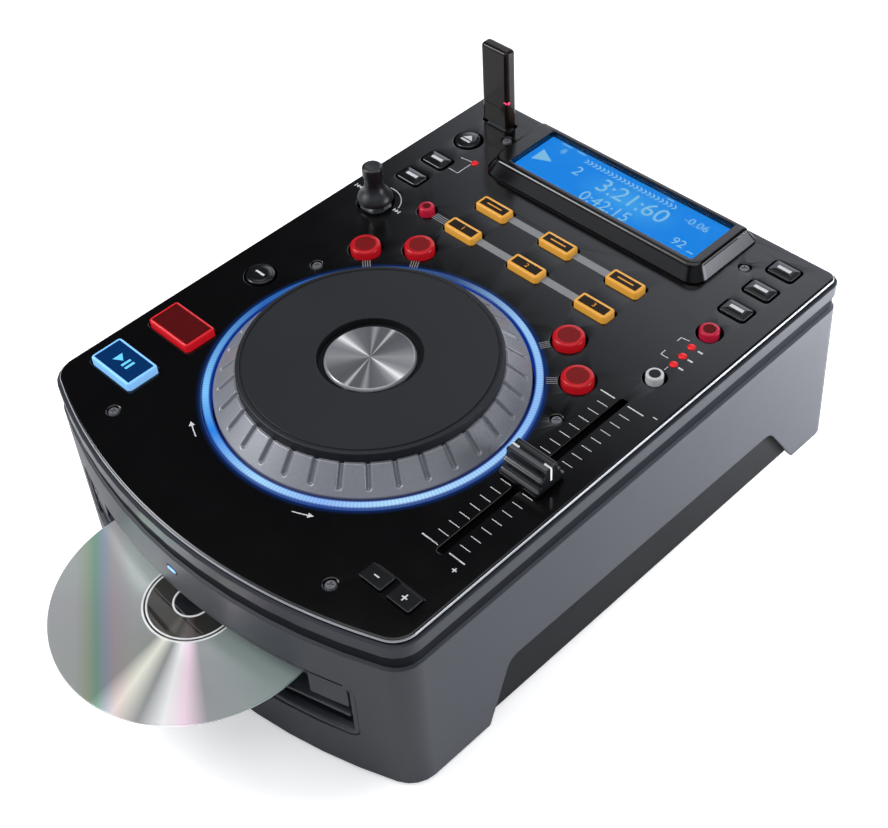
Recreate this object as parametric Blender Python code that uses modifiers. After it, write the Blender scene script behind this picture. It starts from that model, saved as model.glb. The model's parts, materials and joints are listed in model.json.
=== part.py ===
"""Tabletop disc player for a DJ: jog wheel, pitch fader, back-lit display and a slot-loading drive.

Metres, +Z up, +Y towards the back. The control panel slopes slightly, so everything fixed to the case
is laid out in the panel's own frame: X to the right, Y up the panel, Z out of it, origin at the jog centre.
"""
import math

import bmesh
import bpy
from mathutils import Euler, Matrix, Vector

# Driving dimensions of the case
BODY_WIDTH = 0.219
FRONT_REACH = 0.113
BACK_REACH = 0.187
CONTROL_COLUMN = 0.0369
PANEL_BACK_MARGIN = 0.010
FRONT_ARC_RADIUS = 0.259
FRONT_CORNER_RADIUS = 0.014
BACK_CORNER_RADIUS = 0.007
JOG_CENTRE_HEIGHT = 0.0994
PANEL_TILT = math.radians(1.2)
CASE_WALL = 0.0026
SIDE_FLARE = 0.0006
BACK_FLARE = 0.006
RIM_HEIGHT = 0.002
FRONT_ARC_STEPS = 6
CORNER_STEPS = 4

# Clearances
SEAT_GAP = 0.0003
BUTTON_GAP = 0.0004
OVERRUN = 0.004
WELD_DISTANCE = 0.000002

# Panel plate, case frame under it and the seam groove
PANEL_THICKNESS = 0.0022
PANEL_INSET = 0.002
PANEL_EDGE_BEVEL = 0.0006
FRAME_INSET = 0.0004
FRAME_LEDGE = 0.0068
FRAME_BOTTOM = 0.009
FRAME_BEVEL = 0.0009
SEAM_INSET = 0.0014
SEAM_BOTTOM = 0.016
SEAM_CHAMFER = 0.0009

# Side arches, by the distance along the panel and the depth below it
ARCH_FRONT_INSET = 0.063
ARCH_FRONT_LEAN = 0.0165
ARCH_FRONT_DEPTH = 0.0625
ARCH_BACK_INSET = 0.019
ARCH_BACK_LEAN = 0.025
ARCH_BACK_DEPTH = 0.0678
ARCH_FRONT_FOOT = FRONT_REACH - ARCH_FRONT_INSET
ARCH_FRONT_TOP = ARCH_FRONT_FOOT - ARCH_FRONT_LEAN
ARCH_BACK_FOOT = BACK_REACH - ARCH_BACK_INSET
ARCH_BACK_TOP = ARCH_BACK_FOOT - ARCH_BACK_LEAN
ARCH_CORNER_RADIUS = 0.004

# Disc, slot mouth and finger recess
DISC_RADIUS = 0.060
DISC_HOLE_RADIUS = 0.0075
DISC_THICKNESS = 0.0012
DISC_DEPTH = 0.050
DISC_SETBACK = 0.0045
DISC_LOADING_TRAVEL = 0.085
DISC_EJECTED_Y = DISC_SETBACK - FRONT_REACH
DISC_LOADED_Y = DISC_EJECTED_Y + DISC_LOADING_TRAVEL
SLOT_SIDE_GAP = 0.0035
SLOT_HALF_WIDTH = DISC_RADIUS + SLOT_SIDE_GAP
SLOT_HEIGHT = 0.0050
RECESS_WIDTH_SHARE = 0.8036
RECESS_HALF_WIDTH = BODY_WIDTH / 2 * RECESS_WIDTH_SHARE
RECESS_TOP = 0.0375
RECESS_BOTTOM = 0.0720
RECESS_DEPTH = 0.009
RECESS_BACK_WALL = 0.003
RECESS_CORNER_RADIUS = 0.005
RECESS_FRAME = 0.0045
EAR_GAP = 0.003
EAR_INNER = SLOT_HALF_WIDTH + EAR_GAP
EAR_BOTTOM = 0.0535
LIP_TOP = 0.0585
LIP_THICKNESS = 0.0018
MOUTH_SETBACK = 0.0012

# Base tray, bosses and rubber feet
TRAY_BOTTOM = 0.0050
TRAY_FLOOR = 0.0025
TRAY_TOP = 0.0385
TRAY_WALL = 0.002
MOUTH_GAP = 0.0012
FOOT_RADIUS = 0.008
FOOT_CHAMFER = 0.001
FOOT_STEPS = 14
FOOT_SIDE_INSET = 0.0185
FOOT_FRONT_INSET = 0.0165
FOOT_BACK_INSET = 0.017
FOOT_X = BODY_WIDTH / 2 - FOOT_SIDE_INSET
FRONT_CENTRE_Y = FRONT_ARC_RADIUS - FRONT_REACH
FOOT_FRONT_Y = FRONT_CENTRE_Y - math.sqrt(FRONT_ARC_RADIUS ** 2 - FOOT_X ** 2) + FOOT_FRONT_INSET
FOOT_BACK_Y = BACK_REACH - FOOT_BACK_INSET
BOSS_RADIUS = 0.0045

# Jog wheel, which fills the width between the two columns of controls
RING_OUTER_RADIUS = BODY_WIDTH / 2 - CONTROL_COLUMN
RING_WIDTH = 0.0038
RING_INNER_RADIUS = RING_OUTER_RADIUS - RING_WIDTH
RING_RISE = 0.0009
RING_GAP = 0.0004
WHEEL_GAP = 0.0010
WHEEL_RADIUS = RING_INNER_RADIUS - WHEEL_GAP
WHEEL_SKIRT_FOOT = 0.0010
WHEEL_SKIRT_WIDTH = 0.0101
WHEEL_SHOULDER_RADIUS = WHEEL_RADIUS - WHEEL_SKIRT_WIDTH
WHEEL_SHOULDER = 0.0101
WHEEL_SEAT = 0.0082
WHEEL_BOTTOM = -0.0042
WHEEL_WALL = 0.0024
WHEEL_NOTCHES = 34
NOTCH_WIDTH = 0.0031
NOTCH_LENGTH = 0.0072
NOTCH_DEPTH = 0.0011
NOTCH_END_STEPS = 3
NOTCH_TURN = math.radians(-2.25)
WHEEL_TOP_LEDGE = 0.0010
WHEEL_TOP_RADIUS = WHEEL_SHOULDER_RADIUS - WHEEL_TOP_LEDGE
WHEEL_TOP = 0.0146
DISH_RADIUS = 0.0227
DISH_FLOOR = 0.0110
DISH_BEVEL = 0.0007
CAP_RADIUS = 0.0197
CAP_TOP = 0.0132
CAP_BEVEL = 0.0005
HUB_PLATE_TOP = -0.0052
HUB_PLATE_THICKNESS = 0.0025
HUB_POST_RADIUS = 0.006
HUB_POST_TOP = 0.0045
HUB_FOOT_RADIUS = 0.014

# Buttons: how far they stand out, their flange and their travel
FLANGE_WIDTH = 0.0009
FLANGE_THICKNESS = 0.0010
BUTTON_TRAVEL = 0.0010
BUTTON_EDGE = 0.0004
LOW_RISE = 0.0009
PAD_RISE = 0.0026
MODE_RISE = 0.0032
BIG_RISE = 0.0028
ROUND_STEPS = 14
PAD_CORNER_STEPS = 2
KEY_CORNER_STEPS = 1

# Columns of controls, as shares of the column's width from the case's side
LEFT_KEYS_SHARE = 0.5962
RIGHT_KEYS_SHARE = 0.5881
BIG_KEYS_SHARE = 0.6314
BEND_KEYS_SHARE = 0.6396
FADER_SHARE = 0.6098
STICK_SHARE = 0.6369
LEFT_COLUMN = CONTROL_COLUMN * LEFT_KEYS_SHARE - BODY_WIDTH / 2
RIGHT_COLUMN = BODY_WIDTH / 2 - CONTROL_COLUMN * RIGHT_KEYS_SHARE
BIG_COLUMN = CONTROL_COLUMN * BIG_KEYS_SHARE - BODY_WIDTH / 2
BEND_MIDDLE = BODY_WIDTH / 2 - CONTROL_COLUMN * BEND_KEYS_SHARE
FADER_COLUMN = BODY_WIDTH / 2 - CONTROL_COLUMN * FADER_SHARE
KNOB_X = -FADER_COLUMN
STICK_X = CONTROL_COLUMN * STICK_SHARE - BODY_WIDTH / 2

# Rows behind the jog, as shares of the panel's depth there
BACK_FIELD = BACK_REACH - PANEL_BACK_MARGIN - RING_OUTER_RADIUS
KNOB_ROW_SHARE = 0.1140
HOT_CUE_ROW_SHARE = 0.2222
FOLDER_ROW_SHARE = 0.3544
LOOP_ROW_SHARE = 0.4262
DISPLAY_FRONT_SHARE = 0.6044
PROGRAM_ROW_SHARE = 0.6092
EJECT_ROW_SHARE = 0.7318
STICK_ROW_SHARE = 0.9358
KEY_PITCH_SHARE = 0.1667
KNOB_Y = RING_OUTER_RADIUS + BACK_FIELD * KNOB_ROW_SHARE
HOT_CUE_ROW = RING_OUTER_RADIUS + BACK_FIELD * HOT_CUE_ROW_SHARE
FOLDER_ROW = RING_OUTER_RADIUS + BACK_FIELD * FOLDER_ROW_SHARE
LOOP_ROW = RING_OUTER_RADIUS + BACK_FIELD * LOOP_ROW_SHARE
DISPLAY_FRONT = RING_OUTER_RADIUS + BACK_FIELD * DISPLAY_FRONT_SHARE
PROGRAM_ROW = RING_OUTER_RADIUS + BACK_FIELD * PROGRAM_ROW_SHARE
EJECT_ROW = RING_OUTER_RADIUS + BACK_FIELD * EJECT_ROW_SHARE
STICK_Y = RING_OUTER_RADIUS + BACK_FIELD * STICK_ROW_SHARE
KEY_PITCH = BACK_FIELD * KEY_PITCH_SHARE

# Keys, pads and round buttons
KEY_WIDTH = 0.0136
KEY_LENGTH = 0.0094
KEY_RADIUS = 0.0016
EJECT_RADIUS = 0.0068
TAP_RADIUS = 0.0070
BIG_WIDTH_SHARE = 0.7453
BIG_WIDTH = CONTROL_COLUMN * BIG_WIDTH_SHARE
BIG_LENGTH = 0.0168
BIG_RADIUS = 0.0018
BIG_PITCH = 0.0318
PLAY_INSET = 0.0468
PLAY_ROW = PLAY_INSET - FRONT_REACH
CUE_ROW = PLAY_ROW + BIG_PITCH
TAP_STEP = 0.0467
TAP_ROW = CUE_ROW + TAP_STEP
DISPLAY_SIDE_STEP = 0.0066
DISPLAY_HALF_WIDTH = RING_OUTER_RADIUS - DISPLAY_SIDE_STEP
PAD_WIDTH = 0.0186
PAD_LENGTH = 0.0084
PAD_RADIUS = 0.0016
PAD_PITCH_SHARE = 0.6076
PAD_PITCH = DISPLAY_HALF_WIDTH * PAD_PITCH_SHARE
PAD_MIDDLE = 0.0008
RECORD_STEP = 0.0233
RECORD_COLUMN = -(PAD_PITCH + RECORD_STEP)
RECORD_RADIUS = 0.0042
MODE_RADIUS = 0.0075
MODE_RING_STEP = 0.0141
MODE_CIRCLE = RING_OUTER_RADIUS + MODE_RING_STEP
MODE_INNER_ANGLE = math.radians(58.1)
MODE_OUTER_ANGLE = math.radians(41.4)
MODE_INNER_COLUMN = MODE_CIRCLE * math.cos(MODE_INNER_ANGLE)
MODE_INNER_ROW = MODE_CIRCLE * math.sin(MODE_INNER_ANGLE)
MODE_OUTER_COLUMN = MODE_CIRCLE * math.cos(MODE_OUTER_ANGLE)
MODE_OUTER_ROW = MODE_CIRCLE * math.sin(MODE_OUTER_ANGLE)
BEND_WIDTH_SHARE = 0.3306
BEND_PITCH_SHARE = 0.4065
BEND_WIDTH = CONTROL_COLUMN * BEND_WIDTH_SHARE
BEND_PITCH = CONTROL_COLUMN * BEND_PITCH_SHARE
BEND_LENGTH = 0.0086
BEND_INSET = 0.0408
BEND_ROW = BEND_INSET - FRONT_REACH

# Pitch fader, with the range and tempo buttons behind it
FADER_TRAVEL = 0.100
FADER_FRONT_GAP = 0.0294
FADER_MIDDLE = BEND_ROW + FADER_FRONT_GAP + FADER_TRAVEL / 2
FADER_OFFSET = 0.0024
FADER_REST = FADER_MIDDLE - FADER_OFFSET
RANGE_STEP = 0.023
RANGE_RADIUS = 0.0046
RANGE_ROW = FADER_MIDDLE + FADER_TRAVEL / 2 + RANGE_STEP
TEMPO_RADIUS = 0.0053
TEMPO_ROW_SHARE = 0.6607
TEMPO_ROW = RANGE_ROW + (PROGRAM_ROW - RANGE_ROW) * TEMPO_ROW_SHARE
FADER_SLOT_WIDTH = 0.0034
FADER_SLOT_MARGIN = 0.0050
FADER_BODY_WIDTH = 0.0115
FADER_BODY_DEPTH = 0.0095
FADER_BODY_MARGIN = 0.0130
FADER_BODY_WALL = 0.0012
FADER_BODY_RADIUS = 0.0020
CARRIAGE_LENGTH = 0.0120
LEVER_THICKNESS = 0.0022
LEVER_LENGTH = 0.0060
LEVER_TOP = 0.0080
FADER_CAP_WIDTH = 0.0205
FADER_CAP_LENGTH = 0.0168
FADER_CAP_FOOT = 0.0014
FADER_CAP_HEIGHT = 0.0126
FADER_CAP_SIDE_SHARES = ((1.0, 0.0), (1.0, 0.17), (0.82, 0.23), (0.68, 0.36), (0.72, 0.55),
                         (0.52, 0.62), (0.44, 0.78), (0.46, 0.96), (0.38, 1.0), (0.0, 0.95))

# Track knob on its push encoder
KNOB_SKIRT_RADIUS = 0.0087
KNOB_SKIRT_FOOT = 0.0018
KNOB_SKIRT_EDGE = 0.0032
KNOB_DOME_TOP = 0.0064
KNOB_DOME_SHARES = (0.35, 0.7, 1.0)
KNOB_WAIST_RADIUS = 0.0040
KNOB_HEAD_RADIUS = 0.0050
KNOB_HEAD_FOOT = 0.0150
KNOB_TOP = 0.0212
KNOB_SHAFT_RADIUS = 0.0030
BUSHING_RADIUS = 0.0045
BUSHING_RISE = 0.0012
ENCODER_WIDTH = 0.0120
ENCODER_DEPTH = 0.0070
PLUNGER_RADIUS = 0.0042
PLUNGER_HEIGHT = 0.0020
KNOB_STEPS = 18

# USB stick and its upright socket
STICK_WIDTH = 0.0176
STICK_THICKNESS = 0.0068
STICK_FOOT = 0.0012
STICK_TOP = 0.0450
STICK_EDGE = 0.0012
PLUG_WIDTH = 0.0120
PLUG_THICKNESS = 0.0045
PLUG_LENGTH = 0.0115
PLUG_GAP = 0.0006
SOCKET_WALL = 0.0010
SOCKET_RADIUS = 0.0013
SOCKET_DEPTH = 0.0138

# Display
DISPLAY_BACK_INSET = 0.0060
DISPLAY_BACK = BACK_REACH - DISPLAY_BACK_INSET
DISPLAY_RISE = 0.0080
DISPLAY_FRONT_RADIUS = 0.0080
DISPLAY_BACK_RADIUS = 0.0025
DISPLAY_BEVEL = 0.0016
APERTURE_SIDE_INSET = 0.0078
APERTURE_FRONT_INSET = 0.0073
APERTURE_BACK_INSET = 0.0033
APERTURE_HALF_WIDTH = DISPLAY_HALF_WIDTH - APERTURE_SIDE_INSET
APERTURE_FRONT = DISPLAY_FRONT + APERTURE_FRONT_INSET
APERTURE_BACK = DISPLAY_BACK - APERTURE_BACK_INSET
APERTURE_RADIUS = 0.0020
WINDOW_TOP = 0.0072
WINDOW_THICKNESS = 0.0015
LCD_MARGIN = 0.0012
LCD_TOP = 0.0030
LCD_DEPTH = 0.0060
LCD_LEG_RADIUS = 0.0025
LCD_LEG_INSET = 0.006

# Boards
BOARD_THICKNESS = 0.0016
CONTROL_BOARD_DEPTH = 0.0170
CONTROL_BOARD_INSET = 0.0052
SWITCH_SIZE = 0.0060
FRAME_BOSS_RADIUS = 0.0024
FRAME_BOSS_INSET = 0.0067
FRAME_BOSS_FRONT_INSET = 0.041
FRAME_BOSS_BACK_INSET = 0.009
FRAME_BOSS_FRONT_Y = FRAME_BOSS_FRONT_INSET - FRONT_REACH
FRAME_BOSS_BACK_Y = BACK_REACH - FRAME_BOSS_BACK_INSET

# Slot-loading mechanism
MECH_SETBACK = 0.027
MECH_BACK_ROOM = 0.0235
MECH_SIDE_ROOM = 0.0045
MECH_FRONT = MECH_SETBACK - FRONT_REACH
MECH_BACK = DISC_LOADED_Y + DISC_RADIUS + MECH_BACK_ROOM
MECH_HALF_WIDTH = SLOT_HALF_WIDTH + MECH_SIDE_ROOM
MECH_PLATE = 0.0015
MECH_FLOOR_DEPTH = 0.0655
MECH_WALL_TOP = 0.0450
BRIDGE_LENGTH = 0.018
MECH_BOSS_INSET = 0.010
MECH_BOSS_X = MECH_HALF_WIDTH - MECH_BOSS_INSET
MECH_BOSS_FRONT_Y = MECH_FRONT + BRIDGE_LENGTH
MECH_BOSS_BACK_Y = MECH_BACK - MECH_BOSS_INSET
ROLLER_SETBACK = 0.008
ROLLER_Y = MECH_FRONT + ROLLER_SETBACK
ROLLER_RADIUS = 0.0046
ROLLER_WAIST_RADIUS = 0.0040
ROLLER_END_ROOM = 0.010
ROLLER_HALF_LENGTH = MECH_HALF_WIDTH - ROLLER_END_ROOM
ROLLER_SHAFT_RADIUS = 0.0020
ROLLER_SHAFT_REACH = 0.0010
TURNTABLE_RADIUS = 0.014
TURNTABLE_THICKNESS = 0.0020
TURNTABLE_SHAFT_RADIUS = 0.0015
MOTOR_RADIUS = 0.012
MOTOR_HEIGHT = 0.0070
RAIL_X = 0.017
RAIL_WIDTH = 0.0020
RAIL_HEIGHT = 0.0050
SLED_WIDTH = 0.046
SLED_LENGTH = 0.024
SLED_HEIGHT = 0.0085
SLED_GAP = 0.0035
SLED_Y = DISC_LOADED_Y + MOTOR_RADIUS + SLED_GAP
SLED_TRAVEL = 0.036
LENS_SETBACK = 0.0060
LENS_RADIUS = 0.0035
LENS_RISE = 0.0012

# Main board, behind the drive
MAIN_BOARD_WIDTH = 0.150
MAIN_BOARD_FRONT_GAP = 0.023
MAIN_BOARD_BACK_INSET = 0.034
MAIN_BOARD_FRONT = MECH_BACK + MAIN_BOARD_FRONT_GAP
MAIN_BOARD_LENGTH = BACK_REACH - MAIN_BOARD_BACK_INSET - MAIN_BOARD_FRONT
MAIN_BOARD_Y = MAIN_BOARD_FRONT + MAIN_BOARD_LENGTH / 2
MAIN_BOARD_HEIGHT = 0.022

# Rear plate and what is mounted in it; X here runs to the right as seen from behind
REAR_DEPTH = 0.052
REAR_SIDE_INSET = 0.0275
REAR_OPENING_HALF_WIDTH = BODY_WIDTH / 2 - REAR_SIDE_INSET
REAR_OPENING_HALF_HEIGHT = 0.022
REAR_OPENING_RADIUS = 0.004
REAR_PLATE_MARGIN = 0.003
REAR_PLATE_THICKNESS = 0.0012
REAR_ROW = 0.006
INLET_INSET = 0.024
INLET_X = INLET_INSET - REAR_OPENING_HALF_WIDTH
INLET_WIDTH = 0.0290
INLET_HEIGHT = 0.0210
INLET_FLANGE = 0.0015
INLET_CAVITY_WIDTH = 0.0245
INLET_CAVITY_HEIGHT = 0.0170
INLET_CAVITY_DEPTH = 0.0140
INLET_BODY_DEPTH = 0.0170
INLET_PIN_PITCH = 0.0070
INLET_PIN_RISE = 0.0040
INLET_PIN_WIDTH = 0.0020
INLET_PIN_HEIGHT = 0.0040
INLET_PIN_LENGTH = 0.0110
SWITCH_STEP = 0.028
SWITCH_X = INLET_X + SWITCH_STEP
ROCKER_WIDTH = 0.0120
ROCKER_HEIGHT = 0.0180
ROCKER_DEPTH = 0.0090
ROCKER_PROUD = 0.0022
ROCKER_PIVOT_DEPTH = 0.0040
ROCKER_ANGLE = math.radians(7)
ROCKER_GAP = 0.0007
JACK_INSET = 0.032
JACK_X = REAR_OPENING_HALF_WIDTH - JACK_INSET
JACK_PITCH = 0.0140
JACK_RADIUS = 0.0042
JACK_HOLE_RADIUS = 0.0016
JACK_REACH = 0.0090
JACK_BLOCK_DEPTH = 0.0120
JACK_BLOCK_HEIGHT = 0.0130
JACK_STEPS = 12
USB_B_PLACE_SHARE = 0.525
USB_B_X = SWITCH_X + (JACK_X - SWITCH_X) * USB_B_PLACE_SHARE
USB_B_WIDTH = 0.0120
USB_B_HEIGHT = 0.0110
USB_B_WALL = 0.0010
USB_B_RADIUS = 0.0016
USB_B_DEPTH = 0.0140
USB_B_TONGUE_WIDTH = 0.0056
USB_B_TONGUE_HEIGHT = 0.0032

# Facets of the larger turned pieces
RING_STEPS = 52
WHEEL_STEPS = 68
TOP_STEPS = 48
DISC_STEPS = 48
POST_STEPS = 10

OBJECT_NAME = "tabletop_disc_player"
UNDER_PANEL = -(PANEL_THICKNESS + SEAT_GAP)


def clear_scene():
    for item in list(bpy.data.objects):
        bpy.data.objects.remove(item, do_unlink=True)


clear_scene()
parts = bpy.data.collections.new(OBJECT_NAME)
cutters = bpy.data.collections.new("cutters")
bpy.context.scene.collection.children.link(parts)
bpy.context.scene.collection.children.link(cutters)


# Materials


def make_material(name, colour, roughness, metallic=0.0):
    material = bpy.data.materials.new(name)
    material.use_nodes = True
    shader = material.node_tree.nodes["Principled BSDF"]
    shader.inputs["Base Color"].default_value = (*colour, 1.0)
    shader.inputs["Roughness"].default_value = roughness
    shader.inputs["Metallic"].default_value = metallic
    material.diffuse_color = (*colour, 1.0)
    return material


GREY_ABS = make_material("grey_abs", (0.11, 0.12, 0.14), 0.42)
BLACK_GLOSS = make_material("black_gloss_panel", (0.008, 0.008, 0.009), 0.12)
BLACK_ABS = make_material("black_abs", (0.02, 0.02, 0.022), 0.45)
RUBBER = make_material("black_rubber", (0.025, 0.025, 0.025), 0.8)
STEEL = make_material("zinc_plated_steel", (0.55, 0.56, 0.57), 0.35, 1.0)
BLACK_STEEL = make_material("black_painted_steel", (0.03, 0.03, 0.032), 0.5)
WHEEL_SILVER = make_material("painted_silver_abs", (0.22, 0.22, 0.24), 0.35)
WHEEL_PAD = make_material("charcoal_soft_touch", (0.035, 0.036, 0.04), 0.6)
SPUN_ALUMINIUM = make_material("spun_aluminium", (0.62, 0.62, 0.63), 0.28, 1.0)
BLUE_LIGHT = make_material("blue_light_guide", (0.05, 0.32, 0.95), 0.25)
RED_CLEAR = make_material("red_translucent", (0.55, 0.02, 0.03), 0.25)
ORANGE_CLEAR = make_material("orange_translucent", (0.85, 0.42, 0.08), 0.25)
PLAY_BLUE = make_material("blue_translucent", (0.1, 0.4, 0.85), 0.25)
WHITE_CLEAR = make_material("white_translucent", (0.8, 0.8, 0.8), 0.3)
CLEAR_ACRYLIC = make_material("clear_acrylic", (0.8, 0.85, 0.9), 0.05)
LCD_BLUE = make_material("lcd_blue", (0.01, 0.22, 0.85), 0.2)
BOARD_GREEN = make_material("board_green", (0.02, 0.16, 0.07), 0.45)
DISC_SILVER = make_material("silver_polycarbonate", (0.72, 0.74, 0.75), 0.12, 0.8)


# Frames: the sloping panel, and the back wall hung from it


def add_empty(name, parent=None, matrix=None):
    empty = bpy.data.objects.new(name, None)
    parts.objects.link(empty)
    empty.parent = parent
    if matrix is not None:
        empty.matrix_local = matrix
    return empty


def rim_depth(y):
    """Depth below the panel at which the case's lower rim lies, so that the rim is level."""
    height = JOG_CENTRE_HEIGHT + y * math.sin(PANEL_TILT)
    return (height - RIM_HEIGHT) / math.cos(PANEL_TILT)


BACK_RIM_DEPTH = rim_depth(BACK_REACH)
BACK_SLOPE = math.atan2(BACK_FLARE, BACK_RIM_DEPTH - SEAM_BOTTOM)
REAR_Y = BACK_REACH + (REAR_DEPTH - SEAM_BOTTOM) * math.tan(BACK_SLOPE)


def level_y(y, z):
    """World Y of a point of the panel frame, before the whole player is centred."""
    return y * math.cos(PANEL_TILT) - z * math.sin(PANEL_TILT)


FRONT_LIMIT = level_y(DISC_EJECTED_Y - DISC_RADIUS, -DISC_DEPTH)
BACK_LIMIT = level_y(REAR_Y, REAR_ROW - REAR_DEPTH) + JACK_REACH - CASE_WALL
PANEL_Y = -(FRONT_LIMIT + BACK_LIMIT) / 2
panel = add_empty("panel_frame")
panel.location = (0, PANEL_Y, JOG_CENTRE_HEIGHT)
panel.rotation_euler = Euler((PANEL_TILT, 0, 0))
rear_axes = Matrix((
    (-1, 0, 0, 0),
    (0, -math.sin(BACK_SLOPE), math.cos(BACK_SLOPE), REAR_Y),
    (0, math.cos(BACK_SLOPE), math.sin(BACK_SLOPE), -REAR_DEPTH),
    (0, 0, 0, 1)))
rear = add_empty("rear_frame", panel, rear_axes)


# Modelling helpers


def round_outline(x, y, radius, steps=ROUND_STEPS):
    turns = [2 * math.pi * i / steps for i in range(steps)]
    return [(x + radius * math.cos(a), y + radius * math.sin(a)) for a in turns]


def rect_outline(x, y, width, length, radius, steps=PAD_CORNER_STEPS):
    """Rectangle with round corners, anticlockwise from the lower right corner."""
    points = []
    corners = ((1, -1, -90), (1, 1, 0), (-1, 1, 90), (-1, -1, 180))
    for side_x, side_y, start in corners:
        centre_x = x + side_x * (width / 2 - radius)
        centre_y = y + side_y * (length / 2 - radius)
        for i in range(steps + 1):
            angle = math.radians(start + 90 * i / steps)
            points.append((centre_x + radius * math.cos(angle), centre_y + radius * math.sin(angle)))
    return points


def case_outline(side=0.0, front=0.0, back=0.0):
    """The case from above, grown outwards by these amounts: bowed front, straight sides, four fillets."""
    half = BODY_WIDTH / 2 + side
    arc = FRONT_ARC_RADIUS + front
    corner = FRONT_CORNER_RADIUS + side
    fillet_x = half - corner
    fillet_y = FRONT_CENTRE_Y - math.sqrt((arc - corner) ** 2 - fillet_x ** 2)
    tangent = math.atan2(fillet_y - FRONT_CENTRE_Y, fillet_x)
    points = []
    for i in range(FRONT_ARC_STEPS):
        angle = -math.pi / 2 + (tangent + math.pi / 2) * i / FRONT_ARC_STEPS
        points.append((arc * math.cos(angle), FRONT_CENTRE_Y + arc * math.sin(angle)))
    for i in range(CORNER_STEPS + 1):
        angle = tangent * (1 - i / CORNER_STEPS)
        points.append((fillet_x + corner * math.cos(angle), fillet_y + corner * math.sin(angle)))
    back_corner = BACK_CORNER_RADIUS + side
    back_y = BACK_REACH + back - back_corner
    for i in range(CORNER_STEPS + 1):
        angle = math.pi / 2 * i / CORNER_STEPS
        x = half - back_corner + back_corner * math.cos(angle)
        points.append((x, back_y + back_corner * math.sin(angle)))
    mirrored = [(-x, y) for x, y in reversed(points[1:])]
    return points + mirrored


def link_mesh(name, bm, material, parent, cutter=False):
    bmesh.ops.recalc_face_normals(bm, faces=bm.faces)
    mesh = bpy.data.meshes.new(name)
    bm.to_mesh(mesh)
    bm.free()
    item = bpy.data.objects.new(name, mesh)
    (cutters if cutter else parts).objects.link(item)
    item.parent = parent
    if cutter:
        item.hide_render = True
        item.display_type = "WIRE"
    else:
        mesh.materials.append(material)
        mesh.shade_smooth()
        mesh.set_sharp_from_angle(angle=math.radians(35))
    return item


def flat_solid(name, outlines, low, high, material=None, parent=None, cutter=False):
    """Closed outlines filled and extruded between two heights; an outline inside another is a hole."""
    curve = bpy.data.curves.new(name, "CURVE")
    curve.dimensions = "2D"
    curve.fill_mode = "BOTH"
    curve.extrude = (high - low) / 2
    for outline in outlines:
        spline = curve.splines.new("POLY")
        spline.points.add(len(outline) - 1)
        for point, (x, y) in zip(spline.points, outline):
            point.co = (x, y, 0, 1)
        spline.use_cyclic_u = True
    holder = bpy.data.objects.new(name + "_outline", curve)
    cutters.objects.link(holder)
    evaluated = holder.evaluated_get(bpy.context.evaluated_depsgraph_get())
    mesh = bpy.data.meshes.new_from_object(evaluated)
    bpy.data.objects.remove(holder, do_unlink=True)
    bm = bmesh.new()
    bm.from_mesh(mesh)
    bmesh.ops.remove_doubles(bm, verts=bm.verts, dist=WELD_DISTANCE)
    bmesh.ops.translate(bm, vec=(0, 0, (low + high) / 2), verts=bm.verts)
    return link_mesh(name, bm, material, parent, cutter)


def stacked_solid(name, outline, low, steps, material=None, parent=None, cutter=False):
    """An outline raised step by step: a step without inset adds walls, one with inset a ledge or chamfer."""
    bm = bmesh.new()
    base = bm.faces.new([bm.verts.new((x, y, low)) for x, y in outline])
    face = base
    for inset, rise in steps:
        if inset == 0:
            grown = bmesh.ops.extrude_face_region(bm, geom=[face])
            if face is not base:
                bmesh.ops.delete(bm, geom=[face], context="FACES_ONLY")
            face = [item for item in grown["geom"] if isinstance(item, bmesh.types.BMFace)][0]
        else:
            bmesh.ops.inset_individual(bm, faces=[face], thickness=inset, use_even_offset=True)
        bmesh.ops.translate(bm, vec=(0, 0, rise), verts=face.verts)
    return link_mesh(name, bm, material, parent, cutter)


def turned_solid(name, profile, steps, material=None, parent=None, closed=False, cutter=False):
    """A profile of (radius, height) points turned about Z; its outer side runs from top to bottom."""
    bm = bmesh.new()
    points = [bm.verts.new((radius, 0, height)) for radius, height in profile]
    for first, second in zip(points, points[1:]):
        bm.edges.new((first, second))
    if closed:
        bm.edges.new((points[-1], points[0]))
    item = link_mesh(name, bm, material, parent, cutter)
    screw = item.modifiers.new("turn", "SCREW")
    screw.axis = "Z"
    screw.steps = steps
    screw.render_steps = steps
    screw.use_merge_vertices = True
    screw.merge_threshold = WELD_DISTANCE
    screw.use_smooth_shade = False
    return item


def add_box(bm, low, high):
    """One box between two opposite corners, added to a mesh under construction."""
    size = [b - a for a, b in zip(low, high)]
    middle = [(a + b) / 2 for a, b in zip(low, high)]
    matrix = Matrix.Translation(middle) @ Matrix.Diagonal((*size, 1))
    bmesh.ops.create_cube(bm, size=1, matrix=matrix)


def add_post(bm, x, y, radius, low, high, steps=POST_STEPS):
    """One upright cylinder, added to a mesh under construction."""
    matrix = Matrix.Translation((x, y, (low + high) / 2))
    bmesh.ops.create_cone(bm, cap_ends=True, segments=steps, radius1=radius, radius2=radius,
                          depth=high - low, matrix=matrix)


def add_boolean(target, tool, operation):
    modifier = target.modifiers.new(tool.name, "BOOLEAN")
    modifier.operation = operation
    modifier.solver = "EXACT"
    modifier.object = tool


def add_bevel_on(target, width, segments, chosen):
    """Bevels only the edges whose two ends satisfy a test."""
    mesh = target.data
    weights = mesh.attributes.new("bevel_weight_edge", "FLOAT", "EDGE")
    for edge in mesh.edges:
        ends = [mesh.vertices[i].co for i in edge.vertices]
        weights.data[edge.index].value = 1.0 if all(chosen(end) for end in ends) else 0.0
    bevel = target.modifiers.new("edge", "BEVEL")
    bevel.limit_method = "WEIGHT"
    bevel.width = width
    bevel.segments = segments


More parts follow.
